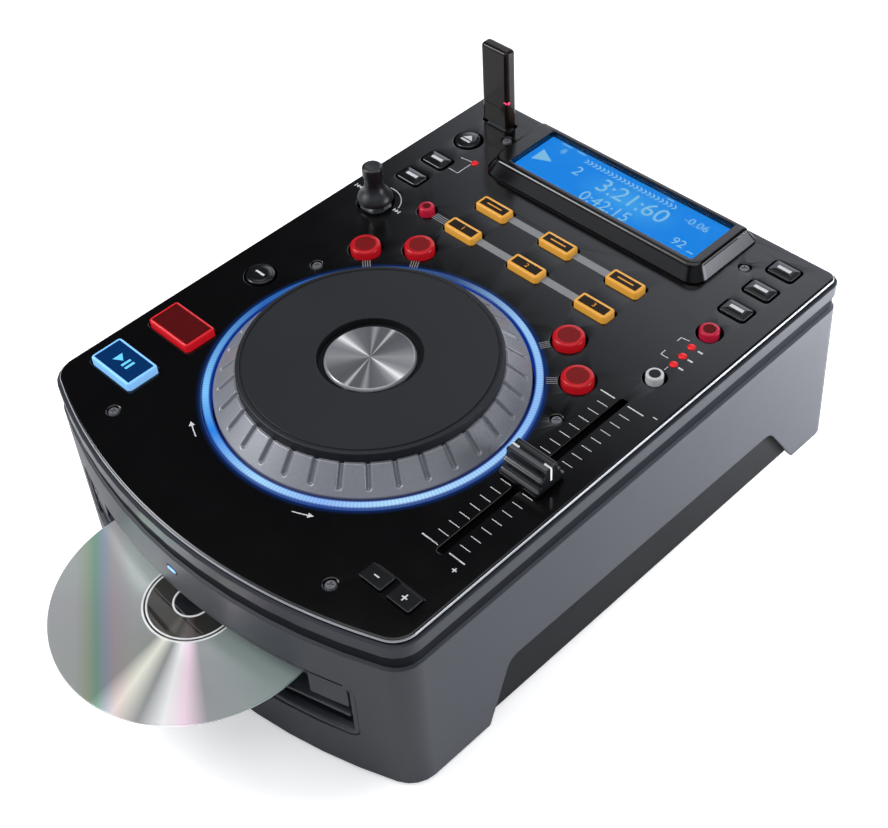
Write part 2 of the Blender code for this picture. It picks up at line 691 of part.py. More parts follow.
def arc_slab(name, half_from, half_to, inner, outer, top, bottom, cutter=True):
    """A slab between two arcs parallel to the bowed front, from one X to another."""
    outline = []
    for i in range(FRONT_ARC_STEPS + 1):
        x = half_from + (half_to - half_from) * i / FRONT_ARC_STEPS
        outline.append((x, FRONT_CENTRE_Y - math.sqrt((FRONT_ARC_RADIUS - outer) ** 2 - x ** 2)))
    for i in range(FRONT_ARC_STEPS + 1):
        x = half_to - (half_to - half_from) * i / FRONT_ARC_STEPS
        outline.append((x, FRONT_CENTRE_Y - math.sqrt((FRONT_ARC_RADIUS - inner) ** 2 - x ** 2)))
    return flat_solid(name, [outline], -bottom, -top, None, panel, cutter)


# Controls: where each button is, its outline and how far it stands out


def control_table():
    table = {}
    for name, x, y, radius, rise, material in (
            ("eject_button", LEFT_COLUMN, EJECT_ROW, EJECT_RADIUS, LOW_RISE, BLACK_ABS),
            ("tap_button", LEFT_COLUMN, TAP_ROW, TAP_RADIUS, LOW_RISE, BLACK_ABS),
            ("record_button", RECORD_COLUMN, HOT_CUE_ROW, RECORD_RADIUS, MODE_RISE, RED_CLEAR),
            ("mode_button_1", -MODE_OUTER_COLUMN, MODE_OUTER_ROW, MODE_RADIUS, MODE_RISE, RED_CLEAR),
            ("mode_button_2", -MODE_INNER_COLUMN, MODE_INNER_ROW, MODE_RADIUS, MODE_RISE, RED_CLEAR),
            ("mode_button_3", MODE_INNER_COLUMN, MODE_INNER_ROW, MODE_RADIUS, MODE_RISE, RED_CLEAR),
            ("mode_button_4", MODE_OUTER_COLUMN, MODE_OUTER_ROW, MODE_RADIUS, MODE_RISE, RED_CLEAR),
            ("master_tempo_button", RIGHT_COLUMN, TEMPO_ROW, TEMPO_RADIUS, PAD_RISE, RED_CLEAR),
            ("pitch_range_button", RIGHT_COLUMN, RANGE_ROW, RANGE_RADIUS, PAD_RISE, WHITE_CLEAR)):
        table[name] = {"place": (x, y), "radius": radius, "rise": rise, "material": material}
    rect_rows = []
    for name, y, material in (("cue_button", CUE_ROW, RED_CLEAR), ("play_pause_button", PLAY_ROW, PLAY_BLUE)):
        rect_rows.append((name, BIG_COLUMN, y, BIG_WIDTH, BIG_LENGTH, BIG_RADIUS, BIG_RISE, material))
    keys = (("folder_button", LEFT_COLUMN, FOLDER_ROW),
            ("source_button", LEFT_COLUMN, FOLDER_ROW + KEY_PITCH),
            ("program_button", RIGHT_COLUMN, PROGRAM_ROW),
            ("single_button", RIGHT_COLUMN, PROGRAM_ROW + KEY_PITCH),
            ("time_button", RIGHT_COLUMN, PROGRAM_ROW + 2 * KEY_PITCH))
    for name, x, y in keys:
        rect_rows.append((name, x, y, KEY_WIDTH, KEY_LENGTH, KEY_RADIUS, LOW_RISE, BLACK_ABS))
    for names, y in ((("loop_in_button", "loop_out_button", "reloop_button"), LOOP_ROW),
                     (("hot_cue_button_1", "hot_cue_button_2", "hot_cue_button_3"), HOT_CUE_ROW)):
        for column, name in enumerate(names):
            x = PAD_MIDDLE + (column - 1) * PAD_PITCH
            rect_rows.append((name, x, y, PAD_WIDTH, PAD_LENGTH, PAD_RADIUS, PAD_RISE, ORANGE_CLEAR))
    for name, side in (("bend_minus_button", -1), ("bend_plus_button", 1)):
        x = BEND_MIDDLE + side * BEND_PITCH / 2
        rect_rows.append((name, x, BEND_ROW, BEND_WIDTH, BEND_LENGTH, KEY_RADIUS, LOW_RISE, BLACK_ABS))
    for name, x, y, width, length, radius, rise, material in rect_rows:
        size = (width, length, radius)
        table[name] = {"place": (x, y), "size": size, "rise": rise, "material": material}
    return table


CONTROLS = control_table()


def control_outline(control, grow, at=(0, 0)):
    x, y = at
    if "radius" in control:
        return round_outline(x, y, control["radius"] + grow)
    width, length, radius = control["size"]
    steps = KEY_CORNER_STEPS if control["rise"] == LOW_RISE else PAD_CORNER_STEPS
    return rect_outline(x, y, width + 2 * grow, length + 2 * grow, radius + grow, steps)


def add_buttons():
    """Each button is a moulded cap with a flange that keeps it in the panel; its origin is on its axis."""
    flange_low = UNDER_PANEL - FLANGE_THICKNESS
    for name, control in CONTROLS.items():
        steps = [(0, FLANGE_THICKNESS), (FLANGE_WIDTH, 0), (0, control["rise"] - UNDER_PANEL - BUTTON_EDGE),
                 (BUTTON_EDGE, BUTTON_EDGE)]
        outline = control_outline(control, FLANGE_WIDTH)
        button = stacked_solid(name, outline, flange_low, steps, control["material"], panel)
        button.location = (*control["place"], 0)


# Case


def add_housing():
    """Moulded lower case: a wall all round with seam groove, slot mouth, side arches and rear opening."""
    levels = [(-SEAM_INSET, -SEAM_INSET, -SEAM_INSET, FRAME_BOTTOM + SEAT_GAP),
              (-SEAM_INSET, -SEAM_INSET, -SEAM_INSET, SEAM_BOTTOM),
              (0, 0, 0, SEAM_BOTTOM + SEAM_CHAMFER), (SIDE_FLARE, 0, BACK_FLARE, None)]
    bm = bmesh.new()
    loops = []
    for side, front, back, depth in levels:
        ring = []
        for x, y in case_outline(side, front, back):
            ring.append(bm.verts.new((x, y, -(rim_depth(y) if depth is None else depth))))
        loops.append([bm.edges.new((a, b)) for a, b in zip(ring, ring[1:] + ring[:1])])
    for upper, lower in zip(loops, loops[1:]):
        bmesh.ops.bridge_loops(bm, edges=upper + lower)
    housing = link_mesh("housing", bm, GREY_ABS, panel)
    shell = housing.modifiers.new("wall", "SOLIDIFY")
    shell.thickness = CASE_WALL
    shell.offset = -1
    shell.use_even_offset = True
    mouth_back = RECESS_DEPTH + RECESS_BACK_WALL
    mouth_end = RECESS_HALF_WIDTH + RECESS_BACK_WALL
    block = arc_slab("mouth_block", -mouth_end, mouth_end, mouth_back, MOUTH_SETBACK,
                     RECESS_TOP - RECESS_BACK_WALL, RECESS_BOTTOM + RECESS_BACK_WALL)
    add_boolean(housing, block, "UNION")
    pocket = arc_slab("mouth_pocket", -RECESS_HALF_WIDTH, RECESS_HALF_WIDTH, RECESS_DEPTH, -OVERRUN,
                      RECESS_TOP, RECESS_BOTTOM)
    pocket_end = RECESS_HALF_WIDTH - WELD_DISTANCE
    add_bevel_on(pocket, RECESS_CORNER_RADIUS, 2, lambda end: abs(end.x) > pocket_end)
    add_boolean(housing, pocket, "DIFFERENCE")
    inner_end = RECESS_HALF_WIDTH - RECESS_FRAME
    for side, name in ((-1, "left_ear"), (1, "right_ear")):
        ends = sorted((side * EAR_INNER, side * inner_end))
        ear = arc_slab(name, *ends, RECESS_DEPTH + SEAM_INSET, MOUTH_SETBACK,
                       RECESS_TOP - SEAM_INSET, EAR_BOTTOM)
        add_boolean(housing, ear, "UNION")
    lip = arc_slab("lower_lip", -inner_end, inner_end, RECESS_DEPTH + SEAM_INSET, MOUTH_SETBACK,
                   LIP_TOP, LIP_TOP + LIP_THICKNESS)
    add_boolean(housing, lip, "UNION")
    slot = arc_slab("disc_slot", -SLOT_HALF_WIDTH, SLOT_HALF_WIDTH, mouth_back + OVERRUN, RECESS_DEPTH / 2,
                    DISC_DEPTH - SLOT_HEIGHT / 2, DISC_DEPTH + SLOT_HEIGHT / 2)
    add_boolean(housing, slot, "DIFFERENCE")
    add_boolean(housing, arch_cutter(), "DIFFERENCE")
    opening = rect_outline(0, 0, 2 * REAR_OPENING_HALF_WIDTH, 2 * REAR_OPENING_HALF_HEIGHT,
                           REAR_OPENING_RADIUS)
    window = flat_solid("rear_opening", [opening], -CASE_WALL - OVERRUN, OVERRUN, None, rear, True)
    add_boolean(housing, window, "DIFFERENCE")


def arch_cutter():
    """Side arches: one outline in the side view, cut straight across the case."""
    foot = rim_depth(ARCH_BACK_FOOT) + OVERRUN
    outline = [(-ARCH_FRONT_FOOT, -foot), (ARCH_BACK_FOOT, -foot),
               (ARCH_BACK_TOP, -ARCH_BACK_DEPTH), (-ARCH_FRONT_TOP, -ARCH_FRONT_DEPTH)]
    cutter = flat_solid("side_arches", [outline], -BODY_WIDTH, BODY_WIDTH, None, panel, True)
    cutter.rotation_euler = Euler((math.pi / 2, 0, math.pi / 2))
    add_bevel_on(cutter, ARCH_CORNER_RADIUS, 2, lambda end: end.y > -foot + OVERRUN)
    return cutter


def add_case_frame():
    """Grey frame that carries the panel's edge, with four bosses that reach down to the control board."""
    outer = case_outline(-FRAME_INSET, -FRAME_INSET, -FRAME_INSET)
    inner = case_outline(-FRAME_LEDGE, -FRAME_LEDGE, -FRAME_LEDGE)
    frame = flat_solid("case_frame", [outer, inner], -FRAME_BOTTOM, UNDER_PANEL, GREY_ABS, panel)
    edge = BODY_WIDTH / 2 - (FRAME_INSET + FRAME_LEDGE) / 2
    top = UNDER_PANEL - WELD_DISTANCE
    add_bevel_on(frame, FRAME_BEVEL, 1, lambda end: end.z > top and outside(end, edge))
    bm = bmesh.new()
    boss_x = BODY_WIDTH / 2 - FRAME_BOSS_INSET
    for x in (-boss_x, boss_x):
        for y in (FRAME_BOSS_FRONT_Y, FRAME_BOSS_BACK_Y):
            add_post(bm, x, y, FRAME_BOSS_RADIUS, SEAT_GAP - CONTROL_BOARD_DEPTH,
                     UNDER_PANEL - PANEL_THICKNESS)
    bosses = link_mesh("frame_bosses", bm, None, panel, True)
    add_boolean(frame, bosses, "UNION")


def outside(end, half):
    """True for points of the outer outline, told from the inner one by their distance to the middle line."""
    middle = (FRAME_INSET + FRAME_LEDGE) / 2
    beyond_front = math.hypot(end.x, end.y - FRONT_CENTRE_Y) > FRONT_ARC_RADIUS - middle and end.y < 0
    return abs(end.x) > half or end.y > BACK_REACH - middle or beyond_front


def add_top_panel():
    """Glossy black panel plate with a hole for each control."""
    edge = case_outline(-PANEL_INSET, -PANEL_INSET, -PANEL_INSET)
    holes = [round_outline(0, 0, RING_OUTER_RADIUS + RING_GAP, RING_STEPS)]
    for control in CONTROLS.values():
        holes.append(control_outline(control, BUTTON_GAP, control["place"]))
    slot_length = FADER_TRAVEL + 2 * FADER_SLOT_MARGIN
    fader_end = FADER_SLOT_WIDTH / 2
    holes.append(rect_outline(FADER_COLUMN, FADER_MIDDLE, FADER_SLOT_WIDTH, slot_length, fader_end))
    holes.append(round_outline(KNOB_X, KNOB_Y, BUSHING_RADIUS + BUTTON_GAP))
    port = (PLUG_WIDTH + 2 * SOCKET_WALL, PLUG_THICKNESS + 2 * SOCKET_WALL)
    holes.append(rect_outline(STICK_X, STICK_Y, *port, SOCKET_WALL, 1))
    lcd_y = (APERTURE_FRONT + APERTURE_BACK) / 2
    holes.append(rect_outline(0, lcd_y, 2 * APERTURE_HALF_WIDTH, APERTURE_BACK - APERTURE_FRONT,
                              APERTURE_RADIUS, 1))
    plate = flat_solid("top_panel", [edge, *holes], -PANEL_THICKNESS, 0, BLACK_GLOSS, panel)
    limit = BODY_WIDTH / 2 - (FRAME_INSET + FRAME_LEDGE) / 2
    add_bevel_on(plate, PANEL_EDGE_BEVEL, 1, lambda end: end.z > -WELD_DISTANCE and outside(end, limit))


def add_base_tray():
    """Dark tray that closes the case from below; its bosses carry the drive and the main board."""
    depth_share = (rim_depth(0) - JOG_CENTRE_HEIGHT + TRAY_TOP - SEAM_BOTTOM) / (rim_depth(0) - SEAM_BOTTOM)
    side = CASE_WALL + SEAT_GAP - SIDE_FLARE * (1 - depth_share)
    front = CASE_WALL + SEAT_GAP
    back = CASE_WALL + REAR_PLATE_THICKNESS + MOUTH_GAP
    lean = rim_depth(0) * math.sin(PANEL_TILT)
    outline = [(x, y + PANEL_Y + lean) for x, y in case_outline(-side, -front, -back)]
    depth = TRAY_TOP - TRAY_BOTTOM
    steps = [(0, depth), (TRAY_WALL, 0), (0, TRAY_FLOOR - depth)]
    tray = stacked_solid("base_tray", outline, TRAY_BOTTOM, steps, BLACK_STEEL)
    room = RECESS_BACK_WALL + MOUTH_GAP
    mouth = arc_slab("mouth_clearance", -RECESS_HALF_WIDTH - room, RECESS_HALF_WIDTH + room,
                     RECESS_DEPTH + room, -OVERRUN, RECESS_TOP, RECESS_BOTTOM + room)
    add_boolean(tray, mouth, "DIFFERENCE")
    bm = bmesh.new()
    floor = TRAY_BOTTOM + TRAY_FLOOR / 2
    for x in (-MECH_BOSS_X, MECH_BOSS_X):
        for y in (MECH_BOSS_FRONT_Y, MECH_BOSS_BACK_Y):
            top = mech_underside(y - BOSS_RADIUS) - SEAT_GAP
            add_post(bm, x, PANEL_Y + level_y(y, -MECH_FLOOR_DEPTH), BOSS_RADIUS, floor, top)
    board_top = MAIN_BOARD_HEIGHT - SEAT_GAP
    for x in (-1, 1):
        for y in (-1, 1):
            place_x = x * (MAIN_BOARD_WIDTH / 2 - BOSS_RADIUS)
            place_y = PANEL_Y + MAIN_BOARD_Y + y * (MAIN_BOARD_LENGTH / 2 - BOSS_RADIUS)
            add_post(bm, place_x, place_y, BOSS_RADIUS, floor, board_top)
    bosses = link_mesh("tray_bosses", bm, None, None, True)
    add_boolean(tray, bosses, "UNION")


def mech_underside(y):
    """World height of the drive's underside at a distance along the panel."""
    depth = MECH_FLOOR_DEPTH + MECH_PLATE
    return JOG_CENTRE_HEIGHT + y * math.sin(PANEL_TILT) - depth * math.cos(PANEL_TILT)


def add_feet():
    """Four rubber feet under the tray."""
    top = TRAY_BOTTOM - SEAT_GAP
    profile = [(0, top), (FOOT_RADIUS, top), (FOOT_RADIUS, FOOT_CHAMFER),
               (FOOT_RADIUS - FOOT_CHAMFER, 0), (0, 0)]
    places = {"foot_front_left": (-FOOT_X, FOOT_FRONT_Y), "foot_front_right": (FOOT_X, FOOT_FRONT_Y),
              "foot_back_left": (-FOOT_X, FOOT_BACK_Y), "foot_back_right": (FOOT_X, FOOT_BACK_Y)}
    for name, (x, y) in places.items():
        foot = turned_solid(name, profile, FOOT_STEPS, RUBBER)
        foot.location = (x, PANEL_Y + y, 0)


# Jog wheel


def add_jog():
    """Ribbed wheel, soft top, spun cap, light ring, and the fixed hub that carries them."""
    bore = HUB_POST_RADIUS + SEAT_GAP
    hollow = WHEEL_RADIUS - 2 * WHEEL_WALL
    boss = bore + WHEEL_WALL
    under = WHEEL_SEAT - WHEEL_WALL
    hollow_shoulder = WHEEL_SHOULDER_RADIUS - WHEEL_WALL
    profile = [(WHEEL_SHOULDER_RADIUS, WHEEL_SHOULDER), (WHEEL_RADIUS, WHEEL_SKIRT_FOOT),
               (WHEEL_RADIUS, WHEEL_BOTTOM), (hollow, WHEEL_BOTTOM),
               (hollow_shoulder, under), (boss, under), (boss, WHEEL_BOTTOM), (bore, WHEEL_BOTTOM),
               (bore, WHEEL_SEAT), (WHEEL_TOP_RADIUS + SEAT_GAP, WHEEL_SEAT),
               (WHEEL_TOP_RADIUS + SEAT_GAP, WHEEL_SHOULDER)]
    wheel = turned_solid("jog_wheel", profile, WHEEL_STEPS, WHEEL_SILVER, panel, True)
    wheel.rotation_euler = Euler((0, 0, NOTCH_TURN))
    add_boolean(wheel, notch_cutter(wheel), "DIFFERENCE")
    dish_edge = DISH_RADIUS + DISH_BEVEL
    profile = [(0, DISH_FLOOR), (DISH_RADIUS, DISH_FLOOR), (DISH_RADIUS, WHEEL_TOP - DISH_BEVEL),
               (dish_edge, WHEEL_TOP), (WHEEL_TOP_RADIUS - DISH_BEVEL, WHEEL_TOP),
               (WHEEL_TOP_RADIUS, WHEEL_TOP - DISH_BEVEL), (WHEEL_TOP_RADIUS, WHEEL_SEAT + SEAT_GAP),
               (0, WHEEL_SEAT + SEAT_GAP)]
    turned_solid("jog_top_pad", profile, TOP_STEPS, WHEEL_PAD, panel)
    profile = [(0, CAP_TOP), (CAP_RADIUS - CAP_BEVEL, CAP_TOP), (CAP_RADIUS, CAP_TOP - CAP_BEVEL),
               (CAP_RADIUS, DISH_FLOOR + SEAT_GAP), (0, DISH_FLOOR + SEAT_GAP)]
    turned_solid("jog_center_cap", profile, RING_STEPS // 2, SPUN_ALUMINIUM, panel)
    ring_low = HUB_PLATE_TOP + SEAT_GAP
    profile = [(RING_OUTER_RADIUS - BUTTON_EDGE, RING_RISE), (RING_OUTER_RADIUS, RING_RISE - BUTTON_EDGE),
               (RING_OUTER_RADIUS, ring_low), (RING_INNER_RADIUS, ring_low),
               (RING_INNER_RADIUS, RING_RISE)]
    turned_solid("jog_light_ring", profile, RING_STEPS, BLUE_LIGHT, panel, True)
    plate_low = HUB_PLATE_TOP - HUB_PLATE_THICKNESS
    hub_low = SEAT_GAP - CONTROL_BOARD_DEPTH
    plate_edge = RING_OUTER_RADIUS - RING_GAP
    profile = [(0, HUB_POST_TOP), (HUB_POST_RADIUS, HUB_POST_TOP), (HUB_POST_RADIUS, HUB_PLATE_TOP),
               (plate_edge, HUB_PLATE_TOP), (plate_edge, plate_low),
               (HUB_FOOT_RADIUS, plate_low), (HUB_FOOT_RADIUS, hub_low), (0, hub_low)]
    turned_solid("jog_hub", profile, RING_STEPS // 2, BLACK_ABS, panel)


def notch_cutter(wheel):
    """Round-ended finger notches down the skirt, open at the shoulder, one cutter for all of them."""
    slope = math.atan2(WHEEL_SHOULDER - WHEEL_SKIRT_FOOT, WHEEL_RADIUS - WHEEL_SHOULDER_RADIUS)
    bm = bmesh.new()
    half = NOTCH_WIDTH / 2
    outline = [(-NOTCH_WIDTH, half), (-NOTCH_WIDTH, -half)]
    for step in range(NOTCH_END_STEPS + 1):
        angle = math.pi * (step / NOTCH_END_STEPS - 1 / 2)
        outline.append((NOTCH_LENGTH - half + half * math.cos(angle), half * math.sin(angle)))
    for number in range(WHEEL_NOTCHES):
        ring = [bm.verts.new((x, y, -NOTCH_DEPTH)) for x, y in outline]
        face = bm.faces.new(ring)
        grown = bmesh.ops.extrude_face_region(bm, geom=[face], use_keep_orig=True)
        raised = [v for v in grown["geom"] if isinstance(v, bmesh.types.BMVert)]
        bmesh.ops.translate(bm, vec=(0, 0, NOTCH_DEPTH + OVERRUN), verts=raised)
        turn = Matrix.Rotation(2 * math.pi * number / WHEEL_NOTCHES, 4, "Z")
        place = Matrix.Translation((WHEEL_SHOULDER_RADIUS, 0, WHEEL_SHOULDER))
        lean = Matrix.Rotation(slope, 4, "Y")
        bmesh.ops.transform(bm, matrix=turn @ place @ lean, verts=ring + raised)
    return link_mesh("finger_notches", bm, None, wheel, True)


# Pitch fader


def add_fader():
    """Metal track under the panel, the carriage with its lever, and the ribbed cap pushed onto it."""
    length = FADER_TRAVEL + 2 * FADER_BODY_MARGIN
    outline = rect_outline(FADER_COLUMN, FADER_MIDDLE, FADER_BODY_WIDTH, length, FADER_BODY_RADIUS, 1)
    low = UNDER_PANEL - FADER_BODY_DEPTH
    steps = [(0, FADER_BODY_DEPTH), (FADER_BODY_WALL, 0), (0, FADER_BODY_WALL - FADER_BODY_DEPTH)]
    stacked_solid("fader_body", outline, low, steps, STEEL, panel)
    rest = add_empty("fader_rest", panel)
    rest.location = (FADER_COLUMN, FADER_REST, 0)
    bm = bmesh.new()
    half = FADER_BODY_WIDTH / 2 - FADER_BODY_WALL - SEAT_GAP
    carriage_low = low + FADER_BODY_WALL + SEAT_GAP
    carriage_top = UNDER_PANEL - SEAT_GAP
    add_box(bm, (-half, -CARRIAGE_LENGTH / 2, carriage_low), (half, CARRIAGE_LENGTH / 2, carriage_top))
    lever = link_mesh("fader_lever", bm, STEEL, rest)
    bm = bmesh.new()
    add_box(bm, (-LEVER_THICKNESS / 2, -LEVER_LENGTH / 2, carriage_low + FADER_BODY_WALL),
            (LEVER_THICKNESS / 2, LEVER_LENGTH / 2, LEVER_TOP))
    add_boolean(lever, link_mesh("lever_blade", bm, None, rest, True), "UNION")
    add_fader_cap(rest)


def add_fader_cap(rest):
    """Cap profile from the side: a wide foot, two finger grooves up to a crest, drawn across its width."""
    rise = FADER_CAP_HEIGHT - FADER_CAP_FOOT
    side = []
    for along, up in FADER_CAP_SIDE_SHARES:
        side.append((FADER_CAP_LENGTH / 2 * along, FADER_CAP_FOOT + rise * up))
    outline = side + [(-y, z) for y, z in reversed(side[:-1])]
    half = FADER_CAP_WIDTH / 2
    cap = flat_solid("fader_cap", [outline], -half, half, BLACK_ABS, rest)
    cap.rotation_euler = Euler((math.pi / 2, 0, math.pi / 2))
    bm = bmesh.new()
    add_box(bm, (-LEVER_THICKNESS / 2 - SEAT_GAP, -LEVER_LENGTH / 2 - SEAT_GAP, 0),
            (LEVER_THICKNESS / 2 + SEAT_GAP, LEVER_LENGTH / 2 + SEAT_GAP, LEVER_TOP + SEAT_GAP))
    add_boolean(cap, link_mesh("lever_socket", bm, None, rest, True), "DIFFERENCE")


# Track knob


def add_knob():
    """Push-and-turn encoder: fixed body with a bushing, sliding plunger, and the knob on its shaft."""
    seat = add_empty("knob_axis", panel)
    seat.location = (KNOB_X, KNOB_Y, 0)
    body_low = UNDER_PANEL - ENCODER_DEPTH
    plunger_top = body_low + SEAT_GAP + PLUNGER_HEIGHT
    outline = rect_outline(0, 0, ENCODER_WIDTH, ENCODER_WIDTH, KEY_RADIUS, 1)
    body = stacked_solid("encoder_body", outline, body_low, [(0, ENCODER_DEPTH)], STEEL, seat)
    bm = bmesh.new()
    add_post(bm, 0, 0, BUSHING_RADIUS, UNDER_PANEL - PANEL_THICKNESS, BUSHING_RISE, ROUND_STEPS)
    add_boolean(body, link_mesh("encoder_bushing", bm, None, seat, True), "UNION")
    bm = bmesh.new()
    bore = KNOB_SHAFT_RADIUS + SEAT_GAP
    add_post(bm, 0, 0, bore, body_low - OVERRUN, BUSHING_RISE + OVERRUN, ROUND_STEPS)
    add_boolean(body, link_mesh("encoder_bore", bm, None, seat, True), "DIFFERENCE")
    bm = bmesh.new()
    room = plunger_top + SEAT_GAP
    add_post(bm, 0, 0, PLUNGER_RADIUS + SEAT_GAP, body_low - OVERRUN, room, ROUND_STEPS)
    add_boolean(body, link_mesh("encoder_room", bm, None, seat, True), "DIFFERENCE")
    plunger_low = plunger_top - PLUNGER_HEIGHT
    profile = [(0, plunger_top), (PLUNGER_RADIUS, plunger_top), (PLUNGER_RADIUS, plunger_low),
               (0, plunger_low)]
    turned_solid("encoder_plunger", profile, POST_STEPS, BLACK_ABS, seat)
    shaft_low = plunger_top + SEAT_GAP
    head_edge = KNOB_HEAD_RADIUS - DISH_BEVEL
    profile = [(0, KNOB_TOP), (head_edge, KNOB_TOP), (KNOB_HEAD_RADIUS, KNOB_TOP - DISH_BEVEL),
               (KNOB_HEAD_RADIUS, KNOB_HEAD_FOOT), (KNOB_WAIST_RADIUS, KNOB_HEAD_FOOT - DISH_BEVEL),
               (KNOB_WAIST_RADIUS, KNOB_DOME_TOP)]
    for share in KNOB_DOME_SHARES:
        radius = KNOB_WAIST_RADIUS + (KNOB_SKIRT_RADIUS - KNOB_WAIST_RADIUS) * math.sin(share * math.pi / 2)
        height = KNOB_SKIRT_EDGE + (KNOB_DOME_TOP - KNOB_SKIRT_EDGE) * math.cos(share * math.pi / 2)
        profile.append((radius, height))
    profile += [(KNOB_SKIRT_RADIUS, KNOB_SKIRT_FOOT), (KNOB_SHAFT_RADIUS, KNOB_SKIRT_FOOT),
                (KNOB_SHAFT_RADIUS, shaft_low), (0, shaft_low)]
    turned_solid("track_knob", profile, KNOB_STEPS, BLACK_ABS, seat)


# Display, USB socket and stick


def add_display():
    """Raised black bezel, clear window and the display module under it."""
    middle = (DISPLAY_FRONT + DISPLAY_BACK) / 2
    length = DISPLAY_BACK - DISPLAY_FRONT
    edge = rect_outline(0, middle, 2 * DISPLAY_HALF_WIDTH, length, DISPLAY_FRONT_RADIUS)
    back = [(x, y) for x, y in rect_outline(0, middle, 2 * DISPLAY_HALF_WIDTH, length, DISPLAY_BACK_RADIUS)
            if y > middle]
    edge = [(x, y) for x, y in edge if y < middle and x > 0] + back + [
        (x, y) for x, y in edge if y < middle and x < 0]
    hole_y = (APERTURE_FRONT + APERTURE_BACK) / 2
    hole_width = 2 * APERTURE_HALF_WIDTH
    hole_length = APERTURE_BACK - APERTURE_FRONT
    hole = rect_outline(0, hole_y, hole_width, hole_length, APERTURE_RADIUS)
    bezel = flat_solid("display_bezel", [edge, hole], SEAT_GAP, DISPLAY_RISE, BLACK_GLOSS, panel)
    add_bevel_on(bezel, DISPLAY_BEVEL, 2, lambda end: end.z > DISPLAY_RISE - WELD_DISTANCE)
    gap = 2 * BUTTON_GAP
    glass = rect_outline(0, hole_y, hole_width - gap, hole_length - gap, APERTURE_RADIUS)
    flat_solid("display_window", [glass], WINDOW_TOP - WINDOW_THICKNESS, WINDOW_TOP, CLEAR_ACRYLIC, panel)
    margin = 2 * LCD_MARGIN
    glass = rect_outline(0, hole_y, hole_width - margin, hole_length - margin, APERTURE_RADIUS, 1)
    module = flat_solid("lcd_module", [glass], -LCD_DEPTH, LCD_TOP, LCD_BLUE, panel)
    bm = bmesh.new()
    for x in (-1, 1):
        for y in (APERTURE_FRONT + LCD_LEG_INSET, APERTURE_BACK - LCD_LEG_INSET):
            add_post(bm, x * (APERTURE_HALF_WIDTH - LCD_LEG_INSET), y, LCD_LEG_RADIUS,
                     SEAT_GAP - CONTROL_BOARD_DEPTH, -LCD_DEPTH / 2, FOOT_STEPS // 2)
    add_boolean(module, link_mesh("lcd_legs", bm, None, panel, True), "UNION")


def add_usb():
    """Upright socket behind the panel and the memory stick plugged into it."""
    seat = add_empty("stick_axis", panel)
    seat.location = (STICK_X, STICK_Y, 0)
    wall = SOCKET_WALL + PLUG_GAP
    outline = rect_outline(0, 0, PLUG_WIDTH + 2 * wall, PLUG_THICKNESS + 2 * wall, SOCKET_RADIUS, 1)
    low = UNDER_PANEL - SOCKET_DEPTH
    steps = [(0, SOCKET_DEPTH), (SOCKET_WALL, 0), (0, SOCKET_WALL - SOCKET_DEPTH)]
    stacked_solid("usb_socket", outline, low, steps, STEEL, seat)
    outline = rect_outline(0, 0, STICK_WIDTH, STICK_THICKNESS, 2 * STICK_EDGE)
    rise = STICK_TOP - STICK_FOOT - STICK_EDGE
    steps = [(0, rise), (STICK_EDGE, STICK_EDGE)]
    stick = stacked_solid("usb_stick", outline, STICK_FOOT, steps, BLACK_GLOSS, seat)
    bm = bmesh.new()
    add_box(bm, (-PLUG_WIDTH / 2, -PLUG_THICKNESS / 2, STICK_FOOT - PLUG_LENGTH),
            (PLUG_WIDTH / 2, PLUG_THICKNESS / 2, STICK_FOOT + STICK_EDGE))
    add_boolean(stick, link_mesh("stick_plug", bm, None, seat, True), "UNION")


# Boards


def add_boards():
    """Control board with one switch post under each button, and the main board on the tray."""
    edge = case_outline(-CONTROL_BOARD_INSET, -CONTROL_BOARD_INSET - CASE_WALL, -CONTROL_BOARD_INSET)
    top = -CONTROL_BOARD_DEPTH
    board = flat_solid("control_board", [edge], top - BOARD_THICKNESS, top, BOARD_GREEN, panel)
    bm = bmesh.new()
    switch_top = UNDER_PANEL - FLANGE_THICKNESS - BUTTON_TRAVEL - SEAT_GAP
    half = SWITCH_SIZE / 2
    for control in CONTROLS.values():
        x, y = control["place"]
        add_box(bm, (x - half, y - half, top - BOARD_THICKNESS / 2), (x + half, y + half, switch_top))
    add_boolean(board, link_mesh("switch_posts", bm, None, panel, True), "UNION")
    bm = bmesh.new()
    centre = PANEL_Y + MAIN_BOARD_Y
    add_box(bm, (-MAIN_BOARD_WIDTH / 2, centre - MAIN_BOARD_LENGTH / 2, MAIN_BOARD_HEIGHT),
            (MAIN_BOARD_WIDTH / 2, centre + MAIN_BOARD_LENGTH / 2, MAIN_BOARD_HEIGHT + BOARD_THICKNESS))
    link_mesh("main_board", bm, BOARD_GREEN, None)


# Drive


